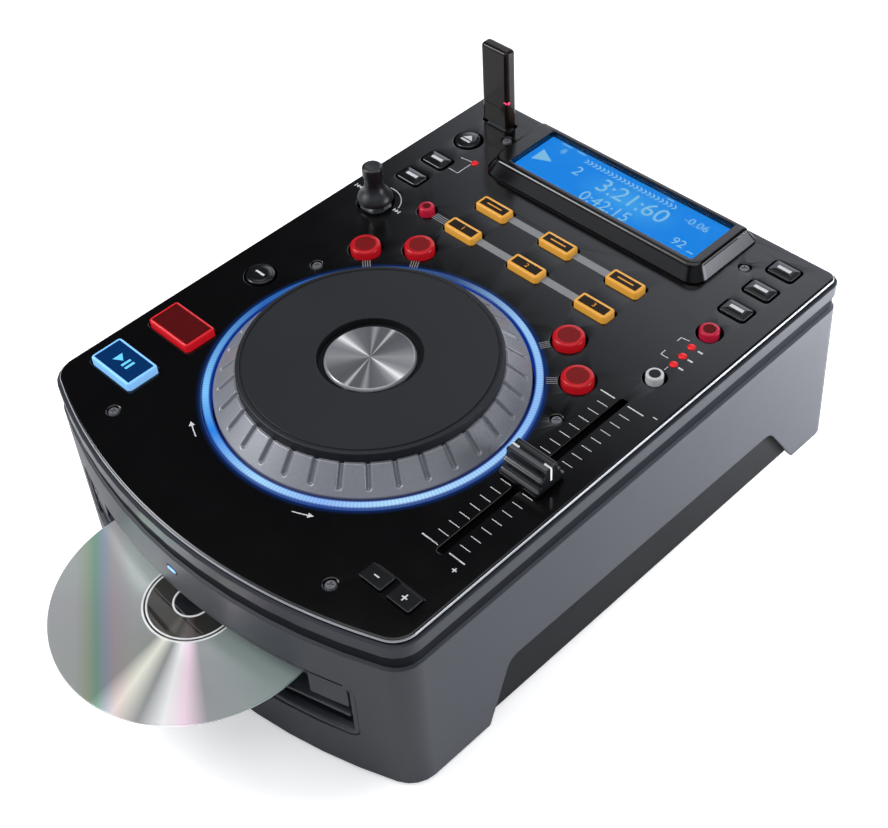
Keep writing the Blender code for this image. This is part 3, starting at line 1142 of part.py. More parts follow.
def add_drive():
    """Sheet-steel chassis, loading roller, turntable, pickup sled and the disc that is part way out."""
    floor = -MECH_FLOOR_DEPTH
    under = floor - MECH_PLATE
    bm = bmesh.new()
    add_box(bm, (-MECH_HALF_WIDTH, MECH_FRONT, under), (MECH_HALF_WIDTH, MECH_BACK, floor))
    chassis = link_mesh("drive_chassis", bm, STEEL, panel)
    bm = bmesh.new()
    for side in (-1, 1):
        walls = sorted((side * MECH_HALF_WIDTH, side * (MECH_HALF_WIDTH - MECH_PLATE)))
        add_box(bm, (walls[0], MECH_FRONT, under + MECH_PLATE / 2), (walls[1], MECH_BACK, -MECH_WALL_TOP))
    walls = link_mesh("drive_walls", bm, None, panel, True)
    add_boolean(chassis, walls, "UNION")
    bm = bmesh.new()
    add_box(bm, (-MECH_HALF_WIDTH, MECH_FRONT, -MECH_WALL_TOP - MECH_PLATE / 2),
            (MECH_HALF_WIDTH, MECH_FRONT + BRIDGE_LENGTH, -MECH_WALL_TOP + MECH_PLATE))
    add_boolean(chassis, link_mesh("drive_bridge", bm, None, panel, True), "UNION")
    bm = bmesh.new()
    for x in (-RAIL_X, RAIL_X):
        rail_end = SLED_Y + SLED_TRAVEL + SLED_LENGTH
        add_box(bm, (x - RAIL_WIDTH / 2, SLED_Y, under + MECH_PLATE / 2),
                (x + RAIL_WIDTH / 2, rail_end, floor + RAIL_HEIGHT - SEAT_GAP))
    add_post(bm, 0, DISC_LOADED_Y, MOTOR_RADIUS, under + MECH_PLATE / 2, floor + MOTOR_HEIGHT, ROUND_STEPS)
    add_boolean(chassis, link_mesh("drive_rails_and_motor", bm, None, panel, True), "UNION")
    bm = bmesh.new()
    add_post(bm, 0, DISC_LOADED_Y, TURNTABLE_SHAFT_RADIUS + SEAT_GAP, floor, floor + MOTOR_HEIGHT + OVERRUN)
    roller_z = -DISC_DEPTH - DISC_THICKNESS / 2 - SEAT_GAP - ROLLER_RADIUS
    reach = MECH_HALF_WIDTH + OVERRUN
    across = Matrix.Translation((0, ROLLER_Y, roller_z)) @ Matrix.Rotation(math.pi / 2, 4, "Y")
    bmesh.ops.create_cone(bm, cap_ends=True, segments=POST_STEPS, radius1=ROLLER_SHAFT_RADIUS + SEAT_GAP,
                          radius2=ROLLER_SHAFT_RADIUS + SEAT_GAP, depth=2 * reach, matrix=across)
    add_boolean(chassis, link_mesh("drive_bores", bm, None, panel, True), "DIFFERENCE")
    half = MECH_HALF_WIDTH + ROLLER_SHAFT_REACH
    profile = [(0, half), (ROLLER_SHAFT_RADIUS, half), (ROLLER_SHAFT_RADIUS, ROLLER_HALF_LENGTH),
               (ROLLER_RADIUS, ROLLER_HALF_LENGTH), (ROLLER_WAIST_RADIUS, 0),
               (ROLLER_RADIUS, -ROLLER_HALF_LENGTH), (ROLLER_SHAFT_RADIUS, -ROLLER_HALF_LENGTH),
               (ROLLER_SHAFT_RADIUS, -half), (0, -half)]
    roller = turned_solid("loading_roller", profile, POST_STEPS, RUBBER, panel)
    roller.location = (0, ROLLER_Y, roller_z)
    roller.rotation_euler = Euler((0, math.pi / 2, 0))
    table_top = -DISC_DEPTH - DISC_THICKNESS / 2 - SEAT_GAP
    table_low = table_top - TURNTABLE_THICKNESS
    shaft_low = floor + MECH_PLATE
    profile = [(0, table_top), (TURNTABLE_RADIUS, table_top), (TURNTABLE_RADIUS, table_low),
               (TURNTABLE_SHAFT_RADIUS, table_low), (TURNTABLE_SHAFT_RADIUS, shaft_low), (0, shaft_low)]
    turntable = turned_solid("turntable", profile, ROUND_STEPS, BLACK_ABS, panel)
    turntable.location = (0, DISC_LOADED_Y, 0)
    add_pickup(floor)
    rims = [round_outline(0, 0, DISC_RADIUS, DISC_STEPS), round_outline(0, 0, DISC_HOLE_RADIUS, ROUND_STEPS)]
    disc = flat_solid("disc", rims, -DISC_THICKNESS / 2, DISC_THICKNESS / 2, DISC_SILVER, panel)
    disc.location = (0, DISC_EJECTED_Y, -DISC_DEPTH)


def add_pickup(floor):
    """Sled that rides the two floor rails behind the turntable, with its lens on top."""
    rest = add_empty("sled_rest", panel)
    rest.location = (0, SLED_Y, floor + SEAT_GAP)
    bm = bmesh.new()
    add_box(bm, (-SLED_WIDTH / 2, 0, 0), (SLED_WIDTH / 2, SLED_LENGTH, SLED_HEIGHT))
    sled = link_mesh("pickup_sled", bm, BLACK_ABS, rest)
    bm = bmesh.new()
    for x in (-RAIL_X, RAIL_X):
        half = RAIL_WIDTH / 2 + SEAT_GAP
        add_box(bm, (x - half, -OVERRUN, -OVERRUN), (x + half, SLED_LENGTH + OVERRUN, RAIL_HEIGHT))
    add_boolean(sled, link_mesh("sled_grooves", bm, None, rest, True), "DIFFERENCE")
    bm = bmesh.new()
    add_post(bm, 0, LENS_SETBACK, LENS_RADIUS, SLED_HEIGHT / 2, SLED_HEIGHT + LENS_RISE)
    add_boolean(sled, link_mesh("sled_lens", bm, None, rest, True), "UNION")


# Rear sockets


def add_rear():
    """Steel plate behind the rear opening with the mains inlet, rocker switch, data port and line outputs."""
    face = -CASE_WALL - SEAT_GAP
    plate_low = face - REAR_PLATE_THICKNESS
    half_width = REAR_OPENING_HALF_WIDTH + REAR_PLATE_MARGIN
    half_height = REAR_OPENING_HALF_HEIGHT + REAR_PLATE_MARGIN
    gap = 2 * SEAT_GAP
    inlet_hole = (INLET_WIDTH - 2 * INLET_FLANGE + gap, INLET_HEIGHT - 2 * INLET_FLANGE + gap)
    rocker_hole = (ROCKER_WIDTH + 2 * ROCKER_GAP, ROCKER_HEIGHT + 2 * ROCKER_GAP)
    outlines = [rect_outline(0, 0, 2 * half_width, 2 * half_height, REAR_OPENING_RADIUS),
                rect_outline(INLET_X, 0, *inlet_hole, SEAT_GAP, 1),
                rect_outline(SWITCH_X, 0, *rocker_hole, SEAT_GAP, 1),
                rect_outline(USB_B_X, REAR_ROW, USB_B_WIDTH + gap, USB_B_HEIGHT + gap, USB_B_RADIUS, 1)]
    for side in (-1, 1):
        x = JACK_X + side * JACK_PITCH / 2
        outlines.append(round_outline(x, REAR_ROW, JACK_RADIUS + SEAT_GAP, JACK_STEPS))
    flat_solid("rear_plate", outlines, plate_low, face, BLACK_STEEL, rear)
    add_inlet(face)
    add_rocker(face)
    add_jacks(face, plate_low)
    port_face = face + USB_B_WALL
    outline = rect_outline(USB_B_X, REAR_ROW, USB_B_WIDTH, USB_B_HEIGHT, USB_B_RADIUS, 1)
    steps = [(0, USB_B_DEPTH), (USB_B_WALL, 0), (0, USB_B_WALL - USB_B_DEPTH)]
    port = stacked_solid("usb_b_port", outline, port_face - USB_B_DEPTH, steps, STEEL, rear)
    bm = bmesh.new()
    half_width = USB_B_TONGUE_WIDTH / 2
    half_height = USB_B_TONGUE_HEIGHT / 2
    root = port_face - USB_B_DEPTH + USB_B_WALL / 2
    add_box(bm, (USB_B_X - half_width, REAR_ROW - half_height, root),
            (USB_B_X + half_width, REAR_ROW + half_height, port_face - 2 * USB_B_WALL))
    add_boolean(port, link_mesh("usb_b_tongue", bm, None, rear, True), "UNION")


def add_inlet(face):
    """Mains inlet: flange outside the plate, body through it, a deep cavity and three blades."""
    flange = rect_outline(INLET_X, 0, INLET_WIDTH, INLET_HEIGHT, INLET_FLANGE)
    front = face + SEAT_GAP + INLET_FLANGE
    inlet = stacked_solid("power_inlet", flange, face + SEAT_GAP, [(0, INLET_FLANGE)], BLACK_ABS, rear)
    bm = bmesh.new()
    half_width = INLET_WIDTH / 2 - INLET_FLANGE
    half_height = INLET_HEIGHT / 2 - INLET_FLANGE
    add_box(bm, (INLET_X - half_width, -half_height, front - INLET_BODY_DEPTH),
            (INLET_X + half_width, half_height, front - INLET_FLANGE / 2))
    add_boolean(inlet, link_mesh("inlet_body", bm, None, rear, True), "UNION")
    bm = bmesh.new()
    half_width = INLET_CAVITY_WIDTH / 2
    half_height = INLET_CAVITY_HEIGHT / 2
    add_box(bm, (INLET_X - half_width, -half_height, front - INLET_CAVITY_DEPTH),
            (INLET_X + half_width, half_height, front + OVERRUN))
    add_boolean(inlet, link_mesh("inlet_cavity", bm, None, rear, True), "DIFFERENCE")
    bm = bmesh.new()
    deep = front - INLET_CAVITY_DEPTH
    for x, y in ((-INLET_PIN_PITCH, 0), (INLET_PIN_PITCH, 0), (0, INLET_PIN_RISE)):
        add_box(bm, (INLET_X + x - INLET_PIN_WIDTH / 2, y - INLET_PIN_HEIGHT / 2, deep - INLET_FLANGE),
                (INLET_X + x + INLET_PIN_WIDTH / 2, y + INLET_PIN_HEIGHT / 2, deep + INLET_PIN_LENGTH))
    add_boolean(inlet, link_mesh("inlet_pins", bm, None, rear, True), "UNION")


def add_rocker(face):
    """Rocker of the power switch, at rest pressed in on its lower side; its origin is on the pivot."""
    pivot = face - ROCKER_PIVOT_DEPTH
    outline = [(-ROCKER_HEIGHT / 2, ROCKER_PIVOT_DEPTH + ROCKER_PROUD),
               (0, ROCKER_PIVOT_DEPTH + ROCKER_PROUD / 2),
               (ROCKER_HEIGHT / 2, ROCKER_PIVOT_DEPTH + ROCKER_PROUD),
               (ROCKER_HEIGHT / 2 - ROCKER_PROUD, ROCKER_PIVOT_DEPTH - ROCKER_DEPTH),
               (ROCKER_PROUD - ROCKER_HEIGHT / 2, ROCKER_PIVOT_DEPTH - ROCKER_DEPTH)]
    half = ROCKER_WIDTH / 2
    rocker = flat_solid("power_rocker", [outline[::-1]], -half, half, BLACK_ABS, rear)
    rocker.location = (SWITCH_X, 0, pivot)
    upright = Euler((math.pi / 2, 0, math.pi / 2)).to_matrix()
    tilt = Matrix.Rotation(ROCKER_ANGLE, 3, "X")
    rocker.rotation_euler = (tilt @ upright).to_euler()


def add_jacks(face, plate_low):
    """Pair of line outputs: one moulded block behind the plate with two barrels through it."""
    top = plate_low - SEAT_GAP
    width = JACK_PITCH + 2 * JACK_RADIUS + 2 * CASE_WALL
    outline = rect_outline(JACK_X, REAR_ROW, width, JACK_BLOCK_HEIGHT, CASE_WALL / 2, 1)
    low = top - JACK_BLOCK_DEPTH
    block = stacked_solid("audio_jacks", outline, low, [(0, JACK_BLOCK_DEPTH)], BLACK_ABS, rear)
    for name, radius, low, operation in (
            ("jack_barrels", JACK_RADIUS, top - JACK_BLOCK_DEPTH / 2, "UNION"),
            ("jack_holes", JACK_HOLE_RADIUS, top - JACK_BLOCK_DEPTH / 2, "DIFFERENCE")):
        bm = bmesh.new()
        for side in (-1, 1):
            x = JACK_X + side * JACK_PITCH / 2
            high = JACK_REACH - CASE_WALL if operation == "UNION" else JACK_REACH + OVERRUN
            add_post(bm, x, REAR_ROW, radius, low, high, JACK_STEPS)
        add_boolean(block, link_mesh(name, bm, None, rear, True), operation)


add_buttons()
add_housing()
add_case_frame()
add_top_panel()
add_base_tray()
add_feet()
add_jog()
add_fader()
add_knob()
add_display()
add_usb()
add_boards()
add_drive()
add_rear()
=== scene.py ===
import json
import math

import bmesh
import bpy
from mathutils import Matrix, Vector


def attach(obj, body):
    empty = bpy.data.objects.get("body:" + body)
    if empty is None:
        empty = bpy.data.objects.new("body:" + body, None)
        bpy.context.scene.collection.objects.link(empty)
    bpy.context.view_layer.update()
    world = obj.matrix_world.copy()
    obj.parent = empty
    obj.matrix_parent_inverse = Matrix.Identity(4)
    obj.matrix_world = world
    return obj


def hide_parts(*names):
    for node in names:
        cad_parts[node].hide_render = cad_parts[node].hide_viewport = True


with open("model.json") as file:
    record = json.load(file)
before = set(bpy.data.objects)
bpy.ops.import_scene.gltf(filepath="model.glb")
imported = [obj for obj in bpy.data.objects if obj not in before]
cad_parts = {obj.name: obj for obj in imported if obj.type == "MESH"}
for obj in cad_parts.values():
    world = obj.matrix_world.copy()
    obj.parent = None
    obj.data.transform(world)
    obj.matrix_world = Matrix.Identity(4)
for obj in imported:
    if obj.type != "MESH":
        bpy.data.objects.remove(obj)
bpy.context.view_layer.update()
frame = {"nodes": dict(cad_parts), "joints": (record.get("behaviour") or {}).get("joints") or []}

# Studio: a sheet of white paper under a big overhead soft box, with smaller ones at
# the front and the right. Soft patches of light round the room, one of them low
# behind the player, shine back from the glossy panel.


def colour(code):
    """A written sRGB colour turned to linear light."""
    parts = [int(code[i:i + 2], 16) / 255 for i in (1, 3, 5)]
    return [p / 12.92 if p <= 0.04045 else ((p + 0.055) / 1.055) ** 2.4 for p in parts] + [1.0]


def add(tree, kind, settings=None, inputs=None):
    """One node with its settings and its inputs, which are values or other nodes."""
    node = tree.nodes.new(kind)
    for name, value in (settings or {}).items():
        setattr(node, name, value)
    for name, value in (inputs or {}).items():
        if isinstance(value, bpy.types.Node):
            value = value.outputs[0]
        if isinstance(value, bpy.types.NodeSocket):
            tree.links.new(value, node.inputs[name])
        else:
            node.inputs[name].default_value = value
    return node


def inside(finish):
    """A material's node tree and its shader."""
    return finish.node_tree, finish.node_tree.nodes["Principled BSDF"]


def new_finish(name, sockets):
    """A material with its shader's own values set."""
    made = bpy.data.materials.new(name)
    made.use_nodes = True
    for socket, value in sockets.items():
        inside(made)[1].inputs[socket].default_value = value
    return made


scene = bpy.context.scene
scene.view_settings.view_transform = "Standard"
scene.view_settings.look = "None"

studio = bpy.data.worlds.new("studio")
scene.world = studio
studio.use_nodes = True
air = studio.node_tree
air.nodes.clear()
heading = add(air, "ShaderNodeTexCoord").outputs["Generated"]
glow = add(air, "ShaderNodeValue")
glow.outputs[0].default_value = 0.02
# azimuth from +Y towards +X, elevation, inner and outer half angle in degrees, strength
SOFT_BOXES = [(-20, 22, 20, 32, 1.85), (-145, 28, 15, 40, 0.8), (120, 35, 10, 50, 0.3), (60, 10, 8, 26, 0.45),
              (59, 9, 6, 14, 8.0)]
for azimuth, elevation, inner, outer, strength in SOFT_BOXES:
    a, e = math.radians(azimuth), math.radians(elevation)
    toward = (math.sin(a) * math.cos(e), math.cos(a) * math.cos(e), math.sin(e))
    facing = add(air, "ShaderNodeVectorMath", {"operation": "DOT_PRODUCT"}, {0: heading, 1: toward})
    patch = add(air, "ShaderNodeMapRange", {"interpolation_type": "SMOOTHSTEP"},
                {"Value": facing.outputs["Value"], "From Min": math.cos(math.radians(outer)),
                 "From Max": math.cos(math.radians(inner)), "To Min": 0.0, "To Max": strength})
    glow = add(air, "ShaderNodeMath", {"operation": "ADD"}, {0: glow, 1: patch})
lit = add(air, "ShaderNodeBackground", None, {"Color": colour("#f0f4ff"), "Strength": glow})
pale = add(air, "ShaderNodeBackground", None, {"Color": colour("#ffffff"), "Strength": 1.0})
seen = add(air, "ShaderNodeLightPath").outputs["Is Camera Ray"]
both = add(air, "ShaderNodeMixShader", None, {0: seen, 1: lit, 2: pale})
add(air, "ShaderNodeOutputWorld", None, {"Surface": both})

# name, place, target, width, height, watts
LAMPS = [("overhead_soft_box", (0.1, -0.1, 1.6), (0, 0, 0), 1.8, 1.8, 15),
         ("front_soft_box", (-0.7, -0.55, 0.8), (-0.02, -0.1, 0.05), 0.45, 0.45, 8),
         ("right_soft_box", (0.33, 0.42, 0.055), (0.11, 0.14, 0.05), 0.16, 0.07, 6.0)]
for name, stand, target, width, height, watts in LAMPS:
    lamp = bpy.data.lights.new(name, "AREA")
    lamp.shape, lamp.size, lamp.size_y, lamp.energy = "RECTANGLE", width, height, watts
    box = bpy.data.objects.new(name, lamp)
    scene.collection.objects.link(box)
    box.location = stand
    box.rotation_euler = (Vector(target) - Vector(stand)).to_track_quat("-Z", "Y").to_euler()
    box.visible_camera = False
    box.visible_glossy = name != "right_soft_box"

paper = new_finish("white_paper", {"Roughness": 0.9, "Emission Color": colour("#ffffff")})
tree, shader = inside(paper)
grain = add(tree, "ShaderNodeTexNoise", None, {"Scale": 400.0, "Detail": 3.0})
tone = add(tree, "ShaderNodeMix", {"data_type": "RGBA"},
           {0: grain, 6: colour("#f6f6f6"), 7: colour("#fbfbfb")})
tree.links.new(tone.outputs[2], shader.inputs["Base Color"])
# the paper is over-exposed in the picture, more so far off, but lights the player no more than it would
afar = add(tree, "ShaderNodeVectorMath", {"operation": "LENGTH"},
           {0: add(tree, "ShaderNodeTexCoord").outputs["Object"]}).outputs["Value"]
bright = add(tree, "ShaderNodeMapRange", None,
             {"Value": afar, "From Min": 0.6, "From Max": 1.5, "To Min": 0.38, "To Max": 0.95})
burnt = add(tree, "ShaderNodeMath", {"operation": "MULTIPLY_ADD"},
            {0: add(tree, "ShaderNodeLightPath").outputs["Is Camera Ray"], 1: bright, 2: 0.04})
tree.links.new(burnt.outputs[0], shader.inputs["Emission Strength"])
FLOOR = 6
floor_mesh = bpy.data.meshes.new("floor")
floor_mesh.from_pydata([(-FLOOR, -FLOOR, 0), (FLOOR, -FLOOR, 0), (FLOOR, FLOOR, 0), (-FLOOR, FLOOR, 0)], [],
                       [(0, 1, 2, 3)])
floor_mesh.materials.append(paper)
floor = bpy.data.objects.new("floor", floor_mesh)
scene.collection.objects.link(floor)

eye = bpy.data.cameras.new("camera")
eye.sensor_width, eye.lens = 36, 62.739
camera = bpy.data.objects.new("camera", eye)
scene.collection.objects.link(camera)
camera.location = (0.36506, -0.32104, 0.55272)
camera.rotation_euler = [math.radians(a) for a in (44.9477, 1.7637, 44.6701)]
scene.camera = camera

# Lower case: housing, upper frame and bottom tray. Injection moulded ABS, the
# first two mid grey with a fine spark texture and the tray near black; they
# clip together and are screwed from below.

turn_joint = next(j for j in frame["joints"] if j["name"] == "jog_turn")
panel_up = Vector(turn_joint["axis"]).normalized()
panel_right = Vector((1, 0, 0))
# millimetres on the panel, centred on the jog, to metres in the room
PANEL = Matrix((panel_right, panel_up.cross(panel_right), panel_up)).transposed().to_4x4()
PANEL.translation = Vector(turn_joint["pos_m"])
PANEL = PANEL @ Matrix.Scale(0.001, 4)
# the bowed front's radius, and how far behind the jog's middle its centre lies
FRONT_RADIUS, FRONT_CENTRE = 259, 146


def mottle(finish, grains, detail=2.0, tones=None, sheen=None, relief=None, distortion=0.0):
    """Noise, so many grains to the metre, in a finish's two tones, its roughness, or its relief.

    A relief is given by its strength and by its depth in metres.
    """
    tree, shader = inside(finish)
    where = add(tree, "ShaderNodeTexCoord").outputs["Object"]
    noise = add(tree, "ShaderNodeTexNoise", None,
                {"Vector": where, "Scale": grains, "Detail": detail, "Distortion": distortion})
    if tones:
        mix = add(tree, "ShaderNodeMix", {"data_type": "RGBA"},
                  {0: noise, 6: colour(tones[0]), 7: colour(tones[1])})
        tree.links.new(mix.outputs[2], shader.inputs["Base Color"])
    if sheen:
        rough = add(tree, "ShaderNodeMapRange", None,
                    {"Value": noise, "To Min": sheen[0], "To Max": sheen[1]})
        tree.links.new(rough.outputs[0], shader.inputs["Roughness"])
    if relief:
        bump = add(tree, "ShaderNodeBump", None,
                   {"Strength": relief[0], "Distance": relief[1], "Height": noise})
        tree.links.new(bump.outputs[0], shader.inputs["Normal"])


def place(mesh, name, materials, body, nodes=(), slot=None, smooth=35, edge=0.0):
    """A finished mesh as an object on a body, standing for CAD nodes, with rounded edges if asked."""
    made = bpy.data.objects.new(name, mesh)
    scene.collection.objects.link(made)
    for material in materials:
        mesh.materials.append(material)
    for face in mesh.polygons:
        face.use_smooth = True
    mesh.set_sharp_from_angle(angle=math.radians(smooth))
    if edge:
        bevel = made.modifiers.new("rounded_edges", "BEVEL")
        bevel.width, bevel.segments, bevel.limit_method = edge * 0.001, 3, "ANGLE"
        bevel.angle_limit = math.radians(smooth)
        bevel.use_clamp_overlap = True
    even = made.modifiers.new("even_shading", "WEIGHTED_NORMAL")
    even.keep_sharp = not edge
    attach(made, body)
    if nodes:
        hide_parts(*nodes)


def merged_copy(node):
    """The node's solid as one skin: its loose triangles joined and its flat faces whole."""
    skin = bmesh.new()
    skin.from_mesh(frame["nodes"][node].data)
    bmesh.ops.remove_doubles(skin, verts=skin.verts, dist=2e-6)
    bmesh.ops.dissolve_limit(skin, angle_limit=math.radians(0.4), verts=skin.verts, edges=skin.edges)
    mesh = bpy.data.meshes.new(node)
    skin.to_mesh(mesh)
    skin.free()
    return mesh


# Moulded ABS with a spark texture: 0.8 mm here, coarser than the real 0.1 mm, so that it shows as a soft
# broken sheen.
grey_abs = new_finish("grey_moulded_abs", {"IOR": 1.53, "Specular IOR Level": 0.22, "Roughness": 0.42})
mottle(grey_abs, 18.0, tones=("#35373d", "#3a3c42"))
mottle(grey_abs, 1250.0, sheen=(0.38, 0.48), relief=(0.12, 0.0001))

# The upper frame is the same ABS from a smoother mould: a low, even sheen that runs on unbroken.
satin_abs = new_finish("grey_satin_abs", {"IOR": 1.53, "Specular IOR Level": 0.1, "Roughness": 0.32})
mottle(satin_abs, 18.0, tones=("#37393f", "#3c3e44"), sheen=(0.26, 0.34))

# The tray's black ABS is rougher, with faint flow marks from the mould's gate.
black_abs = new_finish("black_moulded_abs", {"IOR": 1.53, "Specular IOR Level": 0.08, "Roughness": 0.55})
mottle(black_abs, 30.0, tones=("#17181a", "#1c1d1f"), distortion=1.0)
mottle(black_abs, 1250.0, relief=(0.15, 0.0001))

# Painted shade: the groove under the upper frame is coloured dead matt slate black, so that it reads as the
# shadow in it.
shade_paint_black = new_finish("painted_shade_slate", {"IOR": 1.5, "Specular IOR Level": 0.05, "Roughness": 0.6})
mottle(shade_paint_black, 40.0, 3.0, tones=("#14161b", "#181a20"))

# the groove's floor, between these heights and outside this plan, gets the painted shade
GROOVE_FOOT, GROOVE_TOP, GROOVE_SIDE, GROOVE_BACK, GROOVE_FRONT = -16.3, -9.4, 100, 178, FRONT_RADIUS - 7
shell = merged_copy("housing")
to_panel = PANEL.inverted()
for face in shell.polygons:
    at, out = to_panel @ face.center, (to_panel.to_3x3() @ face.normal).normalized()
    beyond = (abs(at.x) > GROOVE_SIDE or at.y > GROOVE_BACK
              or math.hypot(at.x, at.y - FRONT_CENTRE) > GROOVE_FRONT)
    if GROOVE_FOOT < at.z < GROOVE_TOP and beyond and (abs(out.x) > 0.3 or abs(out.y) > 0.3):
        face.material_index = 1
place(shell, "housing_shell", [grey_abs, shade_paint_black], "case", ["housing"], "grey_abs", 30, 0.5)
place(merged_copy("case_frame"), "upper_frame", [satin_abs], "case", ["case_frame"], "grey_abs", 30, 1.1)
place(merged_copy("base_tray"), "bottom_tray", [black_abs], "case", ["base_tray"], "dark_abs", 30, 0.3)

# Control panel: one plate of 2.2 mm black ABS with a clear hard gloss coat,
# polished edge, and a rounded hole for each control; held by six screws.


def on_panel(tree, middle=(0, 0, 0), unit=(0.001, 0.001, 0.001)):
    """The object's coordinates turned to the panel's, about a point on it, in units of so many metres."""
    where = add(tree, "ShaderNodeTexCoord").outputs["Object"]
    return add(tree, "ShaderNodeMapping", {"vector_type": "TEXTURE"},
               {"Vector": where, "Location": PANEL @ Vector(middle),
                "Rotation": PANEL.to_3x3().normalized().to_euler(), "Scale": unit})


def arc_points(x, y, radius, start, end, steps):
    """Points on an arc, both ends included, angles in degrees."""
    angles = [math.radians(start + (end - start) * i / steps) for i in range(steps + 1)]
    return [(x + radius * math.cos(a), y + radius * math.sin(a)) for a in angles]


def outline(shape, inset=0.0, steps=8):
    """A rounded rectangle (or a circle) as points; shape is x, y, width, depth, corner radius."""
    x, y, width, depth, corner = shape
    radius = max(corner - inset, 0.05)
    across, along = width / 2 - inset - radius, depth / 2 - inset - radius
    if corner == width / 2:
        return arc_points(x, y, radius, -90, 270, 4 * steps)[:-1]
    points = []
    corners = [(across, -along, -90), (across, along, 0), (-across, along, 90), (-across, -along, 180)]
    for cx, cy, start in corners:
        points += arc_points(x + cx, y + cy, radius, start, start + 90, steps)
    return points


def case_outline(inset):
    """The body's plan seen from above, its front bowed, moved in from the outside by inset."""
    half, bow = 109.5 - inset, FRONT_RADIUS - inset
    corner, back_corner, back = 14 - inset, 7 - inset, 187 - inset
    fillet_x = half - corner
    fillet_y = FRONT_CENTRE - math.sqrt((bow - corner) ** 2 - fillet_x ** 2)
    tangent = math.degrees(math.atan2(fillet_y - FRONT_CENTRE, fillet_x))
    right = arc_points(0, FRONT_CENTRE, bow, -90, tangent, 40)
    right += arc_points(fillet_x, fillet_y, corner, tangent, 0, 12)[1:]
    right += arc_points(half - back_corner, back - back_corner, back_corner, 0, 90, 8)
    return right + [(-x, y) for x, y in reversed(right[1:])]


def ring(skin, points, height):
    """Corners at one height over the panel."""
    return [skin.verts.new((x, y, height)) for x, y in points]


def wall(skin, low, high, material=0):
    """Joins two rings of the same count with a strip of faces."""
    for i in range(len(low)):
        skin.faces.new((low[i - 1], low[i], high[i], high[i - 1])).material_index = material


def cover(skin, loops, material=0):
    """Closes a flat region bounded by loops; the first is its outside and the others are holes."""
    if len(loops) == 1:
        skin.faces.new(loops[0]).material_index = material
        return
    edges = []
    for loop in loops:
        edges += [skin.edges.get((loop[i - 1], loop[i])) or skin.edges.new((loop[i - 1], loop[i]))
                  for i in range(len(loop))]
    made = bmesh.ops.triangle_fill(skin, edges=edges, use_beauty=True)
    for piece in made["geom"]:
        if isinstance(piece, bmesh.types.BMFace):
            piece.material_index = material


def ends(skin, loops, material=0):
    """Closes the first and the last of a row of loops."""
    cover(skin, [loops[0]], material)
    cover(skin, [loops[-1]], material)


def stack(skin, points_at, levels, material=0):
    """Rings of an outline at each (inset, height) level, joined into a wall."""
    rings = [ring(skin, points_at(inset), height) for inset, height in levels]
    for low, high in zip(rings, rings[1:]):
        wall(skin, low, high, material)
    return rings


def rounding(edge, top, steps=3):
    """Levels of a quarter round from a wall up to a flat top."""
    return [(edge * (1 - math.cos(a)), top - edge * (1 - math.sin(a)))
            for a in [math.radians(90 * i / steps) for i in range(steps + 1)]]


def fit(skin, name, *rest):
    """Fits a skin drawn on the panel in its place, its faces pointing outwards; the rest is as for place."""
    bmesh.ops.recalc_face_normals(skin, faces=skin.faces)
    bmesh.ops.transform(skin, matrix=PANEL, verts=skin.verts)
    mesh = bpy.data.meshes.new(name)
    skin.to_mesh(mesh)
    skin.free()
    place(mesh, name, *rest)


# every control: its place on the panel, size, corner radius, and rise above the panel
ROUND_KEYS = {"eject": (-87.5, 149, 6.8, 0.9), "tap": (-87.5, 12.3, 7, 0.9),
              "record": (-63.4, 95.8, 4.2, 3.2),
              "mode_1": (-65, 57.3, 7.5, 3.2), "mode_2": (-45.8, 73.6, 7.5, 3.2),
              "mode_3": (45.8, 73.6, 7.5, 3.2), "mode_4": (65, 57.3, 7.5, 3.2),
              "master_tempo": (87.8, 117.2, 5.3, 2.6), "pitch_range": (87.8, 80.2, 4.6, 2.6)}
LARGE, SMALL, PAD = (27.5, 16.8, 1.8, 2.8), (13.6, 9.4, 1.6, 0.9), (18.6, 8.4, 1.6, 2.6)
SQUARE_KEYS = {"cue": (-86.2, -34.4, *LARGE), "play_pause": (-86.2, -66.2, *LARGE),
               "folder": (-87.5, 109.6, *SMALL), "source": (-87.5, 127, *SMALL),
               "program": (87.8, 136.2, *SMALL), "single": (87.8, 153.6, *SMALL), "time": (87.8, 171, *SMALL),
               "loop_in": (-39.3, 117.1, *PAD), "loop_out": (0.8, 117.1, *PAD), "reloop": (40.9, 117.1, *PAD),
               "hot_cue_1": (-39.3, 95.8, *PAD), "hot_cue_2": (0.8, 95.8, *PAD),
               "hot_cue_3": (40.9, 95.8, *PAD)}
BEND_KEYS = {"bend_minus": (78.4, -72.2), "bend_plus": (93.4, -72.2)}
BEND_SHAPE = (12.2, 8.6, 0.8)
KEYS = {name: ((x, y, 2 * r, 2 * r, r), rise) for name, (x, y, r, rise) in ROUND_KEYS.items()}
KEYS.update({name: ((x, y, w, d, c), rise) for name, (x, y, w, d, c, rise) in SQUARE_KEYS.items()})
KEYS.update({name: ((x, y, *BEND_SHAPE), 0.9) for name, (x, y) in BEND_KEYS.items()})
# the dark gap round a key, and how much of it is taken from the key's own radius
KEY_GAP = 0.65
KEY_SHRINK = {"record": 0.4, "master_tempo": 0.8, "pitch_range": 0.7, "mode_1": 0.4, "mode_2": 0.4,
              "mode_3": 0.4, "mode_4": 0.4}

# Gloss black lacquer: near black under a hard clear coat, with the faintest orange peel and dust-fine
# roughness, so that lamps show as soft gradients.
panel_gloss = new_finish("black_gloss_lacquer",
                         {"IOR": 1.5, "Roughness": 0.16, "Emission Color": colour("#1270f0")})
mottle(panel_gloss, 60.0, 4.0, tones=("#060607", "#09090a"), sheen=(0.13, 0.19))
mottle(panel_gloss, 220.0, 1.0, relief=(0.02, 0.0002))
